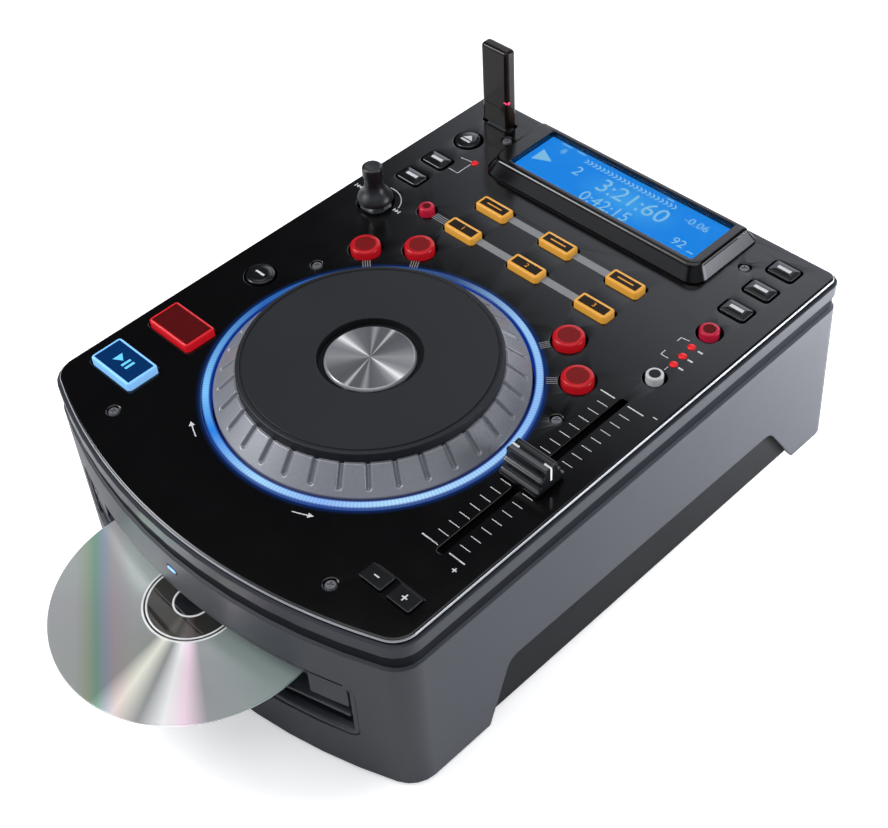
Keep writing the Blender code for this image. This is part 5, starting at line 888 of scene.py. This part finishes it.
# combs of four thin lines from each mode key and the record key
skin = bmesh.new()
COMB_REACH = 4.6
for number in "1234":
    x, y, r, rise = ROUND_KEYS["mode_" + number]
    comb = bmesh.new()
    comb.from_mesh(grown(scale, {"Count": 4, "First": (0, -1.65, 0.02), "Step": (0, 1.1, 0),
                                 "Tick": (COMB_REACH, 0.42, 0.06), "Ink": grey_ink}, "comb"))
    # halfway between the light ring and the key
    middle = (math.hypot(x, y) + 73.4 - r - 1.0) / 2
    turn = Matrix.Rotation(math.atan2(y, x), 4, "Z") @ Matrix.Translation((middle, 0, 0))
    bmesh.ops.transform(comb, matrix=turn, verts=comb.verts)
    mesh = bpy.data.meshes.new("comb")
    comb.to_mesh(mesh)
    comb.free()
    skin.from_mesh(mesh)
skin.from_mesh(grown(scale, {"Count": 4, "First": (-53.9, 94.1, 0.02), "Step": (0, 1.15, 0),
                             "Tick": (9.0, 0.5, 0.06), "Ink": grey_ink}, "comb"))
# solid strips that join the pads of each row
for x, y, width in ((-19.25, 117.6, 21), (20.85, 117.6, 21), (-19.25, 96.0, 21), (20.85, 96.0, 21)):
    printed(skin, outline((x, y, width, 4.2, 0.1), 0, 1))
fit(skin, "grey_print", [grey_ink], "case", (), "wheel_silver")


def line(skin, points, width=0.4):
    """A printed line along points."""
    for (x0, y0), (x1, y1) in zip(points, points[1:]):
        long = math.hypot(x1 - x0, y1 - y0)
        sx, sy = (y1 - y0) / long * width / 2, -(x1 - x0) / long * width / 2
        printed(skin, [(x0 + sx, y0 + sy), (x1 + sx, y1 + sy), (x1 - sx, y1 - sy), (x0 - sx, y0 - sy)])


# thin white lines: round the knob, at the source and range lamps, and arrows for turning the jog
skin = bmesh.new()
line(skin, arc_points(-87, 84.5, 12.4, 18, 100, 14), 0.5)
# double arrows with a stop, one way at each end of the arc
for x, y, way in ((-101.6, 87.6, -1), (-74.6, 86.2, 1)):
    for step in (0, 1.7):
        tail = x + way * (step - 1.7)
        printed(skin, [(tail, y - 1.1), (x + way * step, y), (tail, y + 1.1)])
    printed(skin, outline((x + way * 2.1, y, 0.5, 2.3, 0.05), 0, 1))
for points in ([(-80.4, 136.6), (-73.9, 137.5)], [(-73.0, 135.6), (-73.0, 126.4)],
               [(-79.0, 126.6), (-73.0, 126.4)], [(84.8, 107.6), (80.7, 106.9), (80.7, 104.2)],
               [(84.6, 93.2), (80.6, 93.2), (80.6, 96.4)]):
    line(skin, points)
for y in (105.1, 98.2, 91.8):
    printed(skin, outline((92.6, y - 0.2, 2.6, 0.9, 0.2), 0, 2))
line(skin, [(87.8, 89.2), (87.8, 86.6)], 0.3)
# curved arrows in front of the jog, and minus and plus at the fader's ends
for start, end in ((-112.5, -117.5), (-67.5, -62.5)):
    bend = arc_points(0, 0, 78.2, start, end, 5)
    line(skin, bend, 0.5)
    (x0, y0), (x1, y1) = bend[-2:]
    ux, uy = (x1 - x0) / math.dist(bend[-1], bend[-2]), (y1 - y0) / math.dist(bend[-1], bend[-2])
    printed(skin, [(x1 + ux * 2.6, y1 + uy * 2.6), (x1 - uy * 1.3, y1 + ux * 1.3),
                   (x1 + uy * 1.3, y1 - ux * 1.3)])
for points in (bars(103, 62, (0, 0, 2.2, 0.5))
               + bars(97.5, -50, (0, 0, 2.2, 0.5), (0, 0.7, 0.5, 0.9), (0, -0.7, 0.5, 0.9))):
    printed(skin, points)
fit(skin, "white_print", [white_ink], "case", (), "white_clear")

# Panel screws: black-plated steel cross-head screws with low conical heads, each
# in its well. They hold the panel to the upper frame.

# Black-plated steel: a dark metal, smooth, its tone mottled.
screw_steel = new_finish("black_plated_steel", {"Metallic": 0.35, "Roughness": 0.35})
mottle(screw_steel, 1200.0, 3.0, tones=("#5a5c60", "#7e8084"))

screws, given = new_rule("cross_head_screws", {
    "Vector": ["First", "Pitch"], "Float": ["Head Radius", "Head Height", "Cross Width", "Cross Length"],
    "Material": ["Steel"]})
crown = add(screws, "ShaderNodeMath", {"operation": "MULTIPLY"}, {0: given["Head Radius"], 1: 0.78})
head = add(screws, "GeometryNodeMeshCone", {"fill_type": "NGON"},
           {"Vertices": 24, "Side Segments": 3, "Radius Top": crown, "Radius Bottom": given["Head Radius"],
            "Depth": given["Head Height"]})
cut = add(screws, "GeometryNodeMeshBoolean", {"operation": "DIFFERENCE", "solver": "EXACT"}, {"Mesh 1": head})
for across, along in (("Cross Length", "Cross Width"), ("Cross Width", "Cross Length")):
    size = add(screws, "ShaderNodeCombineXYZ", None, {"X": given[across], "Y": given[along], "Z": 1.4})
    groove = add(screws, "GeometryNodeMeshCube", None, {"Size": size})
    arm = add(screws, "GeometryNodeTransform", None, {"Geometry": groove, "Translation": (0, 0, 1.2)})
    screws.links.new(arm.outputs[0], cut.inputs["Mesh 2"])
row = add(screws, "GeometryNodeMeshLine", {"mode": "OFFSET"},
          {"Count": 2, "Start Location": given["First"], "Offset": given["Pitch"]})
spread = add(screws, "GeometryNodeInstanceOnPoints", None,
             {"Points": row, "Instance": cut, "Rotation": (0, 0, math.radians(35))})
end_rule(screws, spread, given["Steel"])
skin = bmesh.new()
# each left-hand screw, and its like on the right
for x, y in SCREWS[::2]:
    skin.from_mesh(grown(screws, {
        "First": (x, y, -1.2), "Pitch": (-2 * x, 0, 0), "Head Radius": 2.55, "Head Height": 1.0,
        "Cross Width": 0.7, "Cross Length": 2.8, "Steel": screw_steel}, "screws"))
fit(skin, "panel_screws", [screw_steel], "case", (), "black_steel", 30)

# Indicator lamps: moulded red LED lenses, 4 mm across and lit, pushed through the
# panel from below so that they stand just proud of it.

# Red-dyed clear plastic with the light right behind it: a saturated, even glow.
red_lens = lit_acrylic("red_led_lens", "#a00c12", "#d01c20", 0.7, 0.2)
LENS_RADIUS, LENS_FOOT, LENS_TOP = 1.9, 0.05, 0.9
skin = bmesh.new()
for x, y in ((-72, 137.5), (87.8, 105.1), (88.4, 98.2), (88.7, 91.8)):
    dome = [(LENS_RADIUS * math.sin(a), LENS_FOOT + (LENS_TOP - LENS_FOOT) * math.cos(a))
            for a in map(math.radians, (25, 50, 75, 90))]
    rings = turned(skin, [(0, LENS_TOP)] + dome + [(LENS_RADIUS, -0.4)], 16, x=x, y=y)
    cover(skin, [rings[-1]])
fit(skin, "red_lamps", [red_lens], "case", (), "red_clear", 40)

# Track knob: a black ABS knob with a domed skirt and a finger head, pressed on
# the encoder's steel shaft.

# Satin black ABS, its sheen varied in patches by a fine noise.
knob_abs = new_finish("black_satin_abs", {"IOR": 1.53, "Specular IOR Level": 0.6, "Roughness": 0.28})
mottle(knob_abs, 200.0, 3.0, tones=("#141519", "#1a1b20"), sheen=(0.32, 0.42))

skin = bmesh.new()
knob = [(0, 1.8), (8.3, 1.8), (8.7, 2.1), (8.75, 2.9), (8.6, 3.7), (8.2, 4.6), (7.6, 5.5), (6.8, 6.5),
        (6.0, 7.4), (5.3, 8.4), (4.8, 9.5), (4.5, 10.8), (4.4, 12.2), (4.4, 15.1), (4.55, 15.4), (4.9, 15.6),
        (5.0, 16.0), (5.0, 20.0), (4.85, 20.6), (4.45, 21.0), (3.8, 21.2), (3.3, 21.15), (0, 21.0)]
turned(skin, knob, 72, x=-87, y=84.5)
fit(skin, "track_knob_dress", [knob_abs], "knob", ["track_knob"], "dark_abs", 40)

# Memory stick: a small glossy case of smoked brown-black polycarbonate in two
# halves, with a lit indicator at its foot, pushed upright into the port.

# Smoked polycarbonate: so dark that it reads as a deep, clean gloss with a warm cast.
smoked = new_finish("smoked_polycarbonate", {"IOR": 1.4, "Specular IOR Level": 0.3, "Roughness": 0.16})
mottle(smoked, 70.0, 3.0, tones=("#15110f", "#1c1715"), sheen=(0.14, 0.2))
# The indicator shines pink through a clear slit, the brightest spot of the stick.
stick_light = lit_acrylic("pink_led_window", "#a02040", "#f0406a", 1.2)

skin = bmesh.new()
STICK = (-86, 170.3, 17.6, 6.8, 2.2)
rings = stack(skin, lambda i: outline(STICK, i, 6),
              [(0.6, 1.2), (0.1, 1.3), (0, 1.6), (0, 12.2), (0.18, 12.3), (0.18, 12.5), (0, 12.6)]
              + rounding(1.9, 45, 6))
ends(skin, rings)
# the metal plug below the panel
PLUG = (-86, 170.3, 12, 4.5, 0.4)
rings = stack(skin, lambda i: outline(PLUG, i, 3), [(0.2, -10.6), (0, -10.4), (0, 1.3)], 1)
ends(skin, rings, 1)
slab(skin, outline((-77.3, 168.1, 0.5, 1.4, 0.1), 0, 2), 16.0, 17.2, 2)
slab(skin, outline((-78.6, 166.95, 2.0, 0.2, 0.05), 0, 2), 16.2, 17.0, 2)
fit(skin, "memory_stick", [smoked, screw_steel, stick_light], "stick", ["usb_stick"], "stick_black", 40)

# Display: a gloss black hood moulded as a raised frame, a clear acrylic window
# in it, and the blue back-lit liquid crystal display behind.


def hood_outline(inset):
    """The hood's plan: round corners in front, tight ones at the back."""
    left, front, back = 66 - inset, 135.7 + inset, 181 - inset
    big, small = 8 - inset * 0.6, 2.6 - inset * 0.3
    return (arc_points(left - big, front + big, big, -90, 0, 12)
            + arc_points(left - small, back - small, small, 0, 90, 6)
            + arc_points(-left + small, back - small, small, 90, 180, 6)
            + arc_points(-left + big, front + big, big, 180, 270, 12))


APERTURE = (1.9, 158.6, 110.4, 31.3, 1.2)
# the sides lean in and roll over into the top with a wide rounding
LEAN, ROLL, HOOD_TOP = 3.2, 1.9, 8
HOOD_SIDE = [(0.3, 0.0), (0.0, 0.5), (0.0, 1.0)] + [(LEAN + i, h) for i, h in rounding(ROLL, HOOD_TOP, 6)]
skin = bmesh.new()
rings = stack(skin, hood_outline, HOOD_SIDE)
cover(skin, [rings[0]])
mouth = stack(skin, lambda i: outline(APERTURE, i, 6), [(-0.35, HOOD_TOP), (-0.1, 7.9), (0, 7.6), (0, 4.2)])
cover(skin, [rings[-1], mouth[0]])
cover(skin, [mouth[-1]])
fit(skin, "display_hood", [panel_gloss], "case", ["display_bezel"], "panel_black", 35)

# Clear acrylic sheet with a polished face, so that the display shows through it undimmed.
clear_acrylic = new_finish("clear_acrylic", {"IOR": 1.1, "Transmission Weight": 1.0, "Roughness": 0.02})
mottle(clear_acrylic, 50.0, sheen=(0.0, 0.03))
skin = bmesh.new()
rings = stack(skin, lambda i: outline(APERTURE, i, 6), [(0.05, 5.7), (0.05, 7.1), (0.15, 7.2)])
ends(skin, rings)
fit(skin, "display_glass", [clear_acrylic], "case", ["display_window"], "clear_acrylic")

# The blue back light shows evenly through the negative liquid crystal, paler in its middle.
lcd_glow = new_finish("blue_back_lit_crystal",
                      {"IOR": 1.1, "Specular IOR Level": 0.0, "Roughness": 0.5, "Emission Strength": 1.16,
                       "Base Color": colour("#01080f")})
tree, shader = inside(lcd_glow)
spill = add(tree, "ShaderNodeTexGradient", {"gradient_type": "SPHERICAL"},
            {0: on_panel(tree, (8, 157.5, 5), (0.03, 0.014, 0.014))})
tone = add(tree, "ShaderNodeMix", {"data_type": "RGBA"},
           {0: spill, 6: colour("#0484ea"), 7: colour("#3aa4f0")})
tree.links.new(tone.outputs[2], shader.inputs["Emission Color"])
# The segments let the back light through pale.
lcd_mark = lit_acrylic("pale_crystal_segment", "#1f4f70", "#8acdf4", 0.9, 0.5, 0.0)

skin = bmesh.new()
LCD = (1.9, 158.7, 108.8, 29.6, 0.5)
rings = stack(skin, lambda i: outline(LCD, i, 2), [(0, 4.3), (0, 5.3), (0.1, 5.4)])
ends(skin, rings)
# everything on it is placed from its middle
for points in ([[(-50.8, -5.4), (-50.8, 4.0), (-41.4, -1.0)]] + written("8", 5.6, -42.4, 8.8)
               + written("2", 9.5, -27.0, 1.4) + written("3:21:60", 14.0, 7.2, 0.8)
               + written("0:42:15", 10.0, 0, -10.6) + written("-0.06", 6.6, 40.5, 7.0)
               + written("92", 7.6, 42.2, -8.6) + bars(50.3, -10.6, (0, 0, 3.4, 0.8))
               + bars(-44, 13.4, (0, 0, 6, 0.7), (9, 0, 5, 0.7), (64, 0, 4, 0.7))):
    slab(skin, [(x + LCD[0], y + LCD[1]) for x, y in points], 5.35, 5.46, 1)
fit(skin, "crystal_display", [lcd_glow, lcd_mark], "case", (), "lcd_blue")

chevrons, given = new_rule("chevron_row", {"Int": ["Count"], "Vector": ["First", "Step", "Stroke", "Rise"],
                                           "Float": ["Lean"], "Material": ["Segment"]})
row = add(chevrons, "GeometryNodeMeshLine", {"mode": "OFFSET"},
          {"Count": given["Count"], "Start Location": given["First"], "Offset": given["Step"]})
stroke = add(chevrons, "GeometryNodeMeshCube", None, {"Size": given["Stroke"]})
lean_back = add(chevrons, "ShaderNodeMath", {"operation": "MULTIPLY"}, {0: given["Lean"], 1: -1.0})
pair = add(chevrons, "GeometryNodeJoinGeometry")
for lean, shift in ((lean_back, 0.5), (given["Lean"], -0.5)):
    lifted = add(chevrons, "ShaderNodeVectorMath", {"operation": "SCALE"}, {0: given["Rise"], "Scale": shift})
    arm = add(chevrons, "GeometryNodeTransform", None,
              {"Geometry": stroke, "Translation": lifted,
               "Rotation": add(chevrons, "ShaderNodeCombineXYZ", None, {"Z": lean})})
    chevrons.links.new(arm.outputs[0], pair.inputs[0])
spread = add(chevrons, "GeometryNodeInstanceOnPoints", None, {"Points": row, "Instance": pair})
end_rule(chevrons, spread, given["Segment"])
skin = bmesh.new()
skin.from_mesh(grown(chevrons, {
    "Count": 22, "First": (LCD[0] - 28.5, LCD[1] + 10.2, 5.42), "Step": (2.55, 0, 0),
    "Stroke": (2.1, 0.75, 0.08), "Rise": (0, 1.5, 0), "Lean": math.radians(42),
    "Segment": lcd_mark}, "chevrons"))
fit(skin, "crystal_chevrons", [lcd_mark], "case", (), "lcd_blue")

# Pitch fader: a ridged black ABS cap with a white line, on the fader's steel
# lever, in a slot of the panel.

CAP_X, CAP_Y, CAP_WIDTH, CAP_LENGTH, CAP_FOOT, CAP_TOP = 87, 4.8, 20.5, 16.8, 1.4, 12.6
# half of the cap's side as shares of its half length and its height, from its foot up to the white line
half_side = [(1.0, 0.0), (1.0, 0.14), (0.97, 0.18), (0.86, 0.2), (0.80, 0.24), (0.72, 0.34), (0.695, 0.4),
             (0.715, 0.5), (0.70, 0.56), (0.62, 0.6), (0.55, 0.62), (0.49, 0.68), (0.455, 0.76), (0.45, 0.84),
             (0.46, 0.93), (0.44, 0.98), (0.38, 1.0), (0.30, 0.985), (0.15, 0.96)]
side = half_side + [(0.0, 0.95)] + [(-a, u) for a, u in reversed(half_side)]
skin = bmesh.new()
rings = []
# how far across, and how much the side shrinks there to round the cap's ends
half_ends = [(0.3, 1.0), (0.9, 1.0), (0.955, 0.99), (0.985, 0.965), (1, 0.93)]
for across, shrink in [(-a, s) for a, s in reversed(half_ends)] + [(0, 1.0)] + half_ends:
    rings.append([skin.verts.new((CAP_X + across * CAP_WIDTH / 2, CAP_Y + a * shrink * CAP_LENGTH / 2,
                                  CAP_FOOT + u * (1 if u == 0 else shrink ** 0.5) * (CAP_TOP - CAP_FOOT)))
                  for a, u in side])
for low, high in zip(rings, rings[1:]):
    wall(skin, low, high)
ends(skin, rings)
top = CAP_FOOT + 0.95 * (CAP_TOP - CAP_FOOT)
for x in (78.6, 95.4):
    slab(skin, outline((x, CAP_Y, 3.6, 1.0, 0.1), 0, 1), top - 0.3, top + 0.1, 1)
slab(skin, outline((97.22, CAP_Y, 0.2, 1.0, 0.04), 0, 1), 5.2, top, 1)
fit(skin, "fader_grip", [key_gloss, white_ink], "fader", ["fader_cap"], "dark_abs", 38)

# Disc: a 120 mm polycarbonate disc, metallised from 22 mm out, with a clear hub
# and a moulded stacking ring; it lies in the drive's slot.

# the middle of the disc in front of the jog's, and the heights of its faces
DISC_Y, DISC_FLOOR, DISC_TOP = -108.5, -50.6, -49.4
DISC_MIDDLE = (0, DISC_Y, -50)

# Polycarbonate with sputtered aluminium behind it: silver, with soft fans of light and one rainbow band
# painted into its colour and a faint glow, as painted highlights.
foil = new_finish("metallised_polycarbonate",
                  {"IOR": 1.58, "Metallic": 0.45, "Roughness": 0.2, "Emission Strength": 0.16})
tree, shader = inside(foil)
away, direction = polar(tree, DISC_MIDDLE)
# the tracks are drawn 0.8 mm apart, because the real 0.0016 mm can't show
lathe_lines(foil, away, 0.8, 0.02)
# the back half mirrors the front half, so that nothing steps where they meet
folded = add(tree, "ShaderNodeMath", {"operation": "ABSOLUTE"}, {0: direction})
# painted highlights: grey silver with two bright fans, the second tinted pink at its side, by degrees from
# the right
fan = shades(tree, folded,
             [(180, "#c0ccc8"), (135, "#b0b2b4"), (82, "#a0a4a0"), (71, "#fffff0"), (60, "#9ca0a0"),
              (50, "#ffffff"), (42, "#ffe4f4"), (33, "#a0a2a4"), (0, "#98a8a4")], math.radians(1))
# a painted reflection: one straight green and violet band across the left of the disc, by millimetres from
# its middle
BAND_WAY = (-0.59, -0.81, 0)
along = add(tree, "ShaderNodeVectorMath", {"operation": "DOT_PRODUCT"},
            {0: on_panel(tree, DISC_MIDDLE), 1: BAND_WAY}).outputs["Value"]
band = shades(tree, along, [(24, "#ffffff"), (32.32, "#ffecf4"), (36.16, "#e0e6ff"), (40, "#c0ecd8"),
                            (43.84, "#edf6de"), (48.32, "#ffffff"), (56, "#ffffff")])
rainbow = add(tree, "ShaderNodeMix", {"data_type": "RGBA", "blend_type": "MULTIPLY"},
              {0: 1.0, 6: fan, 7: band})
for socket in ("Base Color", "Emission Color"):
    tree.links.new(rainbow.outputs[2], shader.inputs[socket])

# The bare hub is clear, its tint darkened to brown-grey: painted shade for the dark slot seen through it.
clear_disc = new_finish("clear_polycarbonate", {"IOR": 1.58, "Transmission Weight": 0.9, "Roughness": 0.03,
                                                "Base Color": colour("#4a4542")})
mottle(clear_disc, 120.0, sheen=(0.0, 0.06))

# The moulded ridges and the lip round the hole are coloured white: a painted highlight.
ridge_highlight_paint = new_finish("painted_ridge_highlight", {"IOR": 1.58, "Roughness": 0.35})
mottle(ridge_highlight_paint, 300.0, tones=("#cfd2d2", "#ffffff"))

FOIL_FROM, RIDGE = 21.6, 0.1
skin = bmesh.new()
# radius and rise of the upper face, with two moulded ridges and a lip round the hole
face_line = [(59.8, 0), (58.6, 0), (22.5, 0), (21.3, 0), (21.1, RIDGE), (20.6, RIDGE), (20.4, 0), (19.6, 0),
             (19.4, RIDGE), (19.0, RIDGE), (18.8, 0), (8.4, 0), (8.2, 0.08), (7.7, 0.08), (7.5, 0)]
profile = ([(7.5, DISC_FLOOR), (59.8, DISC_FLOOR), (60, DISC_FLOOR + 0.2), (60, DISC_TOP - 0.2)]
           + [(radius, DISC_TOP + rise) for radius, rise in face_line] + [(7.5, DISC_FLOOR)])
turned(skin, profile, 160)
# raised faces take the white painted highlight; the foil lies outside FOIL_FROM, the clear hub inside it
for face in skin.faces:
    x, y, z = face.calc_center_median()
    face.material_index = 2 if z > DISC_TOP + 0.02 else 0 if math.hypot(x, y) > FOIL_FROM else 1
bmesh.ops.remove_doubles(skin, verts=skin.verts, dist=0.001)
bmesh.ops.translate(skin, vec=(0, DISC_Y, 0), verts=skin.verts)
fit(skin, "music_disc", [foil, clear_disc, ridge_highlight_paint], "loaded_disc", ["disc"], "disc_silver", 30)

# Slot lamp: a small blue acrylic lens, lit by an LED, in a flush black bezel, painted shade for the dark
# recess round it. It is pressed into the front wall over the middle of the slot.

# Clear blue acrylic, lit so brightly that it pales.
blue_lens = lit_acrylic("blue_led_lens", "#2f6fd8", "#7fb0ff", 1.0, 0.15)


def on_front(x, z, depth):
    """A point on the bowed front wall, sunk into it by depth."""
    reach = FRONT_RADIUS - depth
    return (x, FRONT_CENTRE - math.sqrt(reach * reach - x * x), z)


SLOT_LAMP = (-1.5, -25.5, 5.4, 2.0, 0.99)
# (inset, depth) of each loop round the lens, and round the flush black bezel of painted shade about it
LENS_LOOPS = [(0, 0.4), (0, -0.12), (0.25, -0.3)]
BEZEL_LOOPS = [(-0.7, 0.4), (-0.7, -0.03), (0.2, -0.03), (0.2, 0.4)]
skin = bmesh.new()
lens, bezel = [[[skin.verts.new(on_front(x, z, depth)) for x, z in outline(SLOT_LAMP, inset, 6)]
                for inset, depth in loops] for loops in (LENS_LOOPS, BEZEL_LOOPS)]
for low, high in zip(lens, lens[1:]):
    wall(skin, low, high)
ends(skin, lens)
for low, high in zip(bezel, bezel[1:] + bezel[:1]):
    wall(skin, low, high, 1)
fit(skin, "slot_lamp", [blue_lens, shade_paint_black], "case", (), "blue_clear", 40)

# Slot frame: a thin moulded frame clipped into the mouth of the disc slot, with
# a shadow gap round it.

skin = bmesh.new()
MOUTH = (0, -54.75, 176, 34.5, 5)
loops = []
for inset, depth in ((0.55, 4.0), (0.55, 0.7), (0.8, 0.45), (2.3, 0.45), (2.9, 0.8), (3.2, 1.6), (3.3, 4.0)):
    side = outline(MOUTH, inset, 6)
    dense = []
    for (x0, z0), (x1, z1) in zip(side, side[1:] + side[:1]):
        parts = max(1, int(abs(x1 - x0) // 6))
        dense += [(x0 + (x1 - x0) * i / parts, z0 + (z1 - z0) * i / parts) for i in range(parts)]
    loops.append([skin.verts.new(on_front(x, z, depth)) for x, z in dense])
for low, high in zip(loops, loops[1:] + loops[:1]):
    wall(skin, low, high)
fit(skin, "slot_frame", [grey_abs], "case", (), "grey_abs", 40)

# painted shadow: dark strips on the wall where the frame's shadow gap passes over the mouth's two shoulders
skin = bmesh.new()
for way in (-1, 1):
    path = [(way * (66.8 + i * 16.4 / 8), -37.75) for i in range(9)]
    loops = [[skin.verts.new(on_front(x, z + dz, depth)) for x, z in path]
             for dz, depth in ((-0.25, 0.1), (-0.25, -0.04), (0.25, -0.04), (0.25, 0.1))]
    for low, high in zip(loops, loops[1:] + loops[:1]):
        for i in range(len(path) - 1):
            skin.faces.new((low[i], low[i + 1], high[i + 1], high[i]))
    for i in (0, -1):
        skin.faces.new([loop[i] for loop in loops])
fit(skin, "painted_mouth_shadow", [shade_paint_black], "case", (), "dark_abs", 40)

# Inside and back: pieces whose solids already have the right shape get their
# real finish: rubber feet, boards, zinc-plated sheet steel, sockets.

# Moulded rubber: matt, dusty black.
rubber = new_finish("moulded_rubber", {"IOR": 1.52, "Roughness": 0.85})
mottle(rubber, 300.0, 4.0, tones=("#232324", "#2e2e2f"))

# Zinc-plated sheet steel: soft grey spangle, 3 mm across, of changing gloss.
zinc = new_finish("zinc_plated_steel", {"Metallic": 1.0, "Roughness": 0.38})
tree, shader = inside(zinc)
spangle = add(tree, "ShaderNodeTexVoronoi", None,
              {"Vector": add(tree, "ShaderNodeTexCoord").outputs["Object"], "Scale": 350.0}).outputs["Color"]
tone = add(tree, "ShaderNodeMix", {"data_type": "RGBA"},
           {0: spangle, 6: colour("#a3a5a8"), 7: colour("#bcbec0")})
tree.links.new(tone.outputs[2], shader.inputs["Base Color"])
rough = add(tree, "ShaderNodeMapRange", None, {"Value": spangle, "To Min": 0.32, "To Max": 0.45})
tree.links.new(rough.outputs[0], shader.inputs["Roughness"])

# Painted sheet steel: satin black powder coat with a fine orange peel.
painted_steel = new_finish("black_powder_coat", {"IOR": 1.5, "Roughness": 0.4})
mottle(painted_steel, 900.0, tones=("#26272a", "#2c2d30"), relief=(0.2, 0.0001))

# Glass-epoxy board under green solder mask, its woven cloth just showing.
board = new_finish("green_solder_mask", {"IOR": 1.52, "Roughness": 0.3})
tree, shader = inside(board)
cloth = add(tree, "ShaderNodeTexBrick", None,
            {"Vector": add(tree, "ShaderNodeTexCoord").outputs["Object"], "Scale": 400.0,
             "Color1": colour("#0d4a2c"), "Color2": colour("#105233"), "Mortar": colour("#0b4026")})
tree.links.new(cloth.outputs[0], shader.inputs["Base Color"])

CARRIED = [(rubber, ("foot_front_left", "foot_front_right", "foot_back_left", "foot_back_right",
                     "loading_roller")),
           (zinc, ("drive_chassis", "fader_lever", "usb_socket", "encoder_body", "encoder_plunger",
                   "turntable", "usb_b_port")),
           (painted_steel, ("fader_body", "rear_plate", "pickup_sled")),
           (black_abs, ("lcd_module", "jog_hub", "power_inlet", "audio_jacks")),
           (key_gloss, ("power_rocker",)),
           (board, ("control_board", "main_board"))]
for coat, nodes in CARRIED:
    for node in nodes:
        for slot in frame["nodes"][node].material_slots:
            slot.material = coat
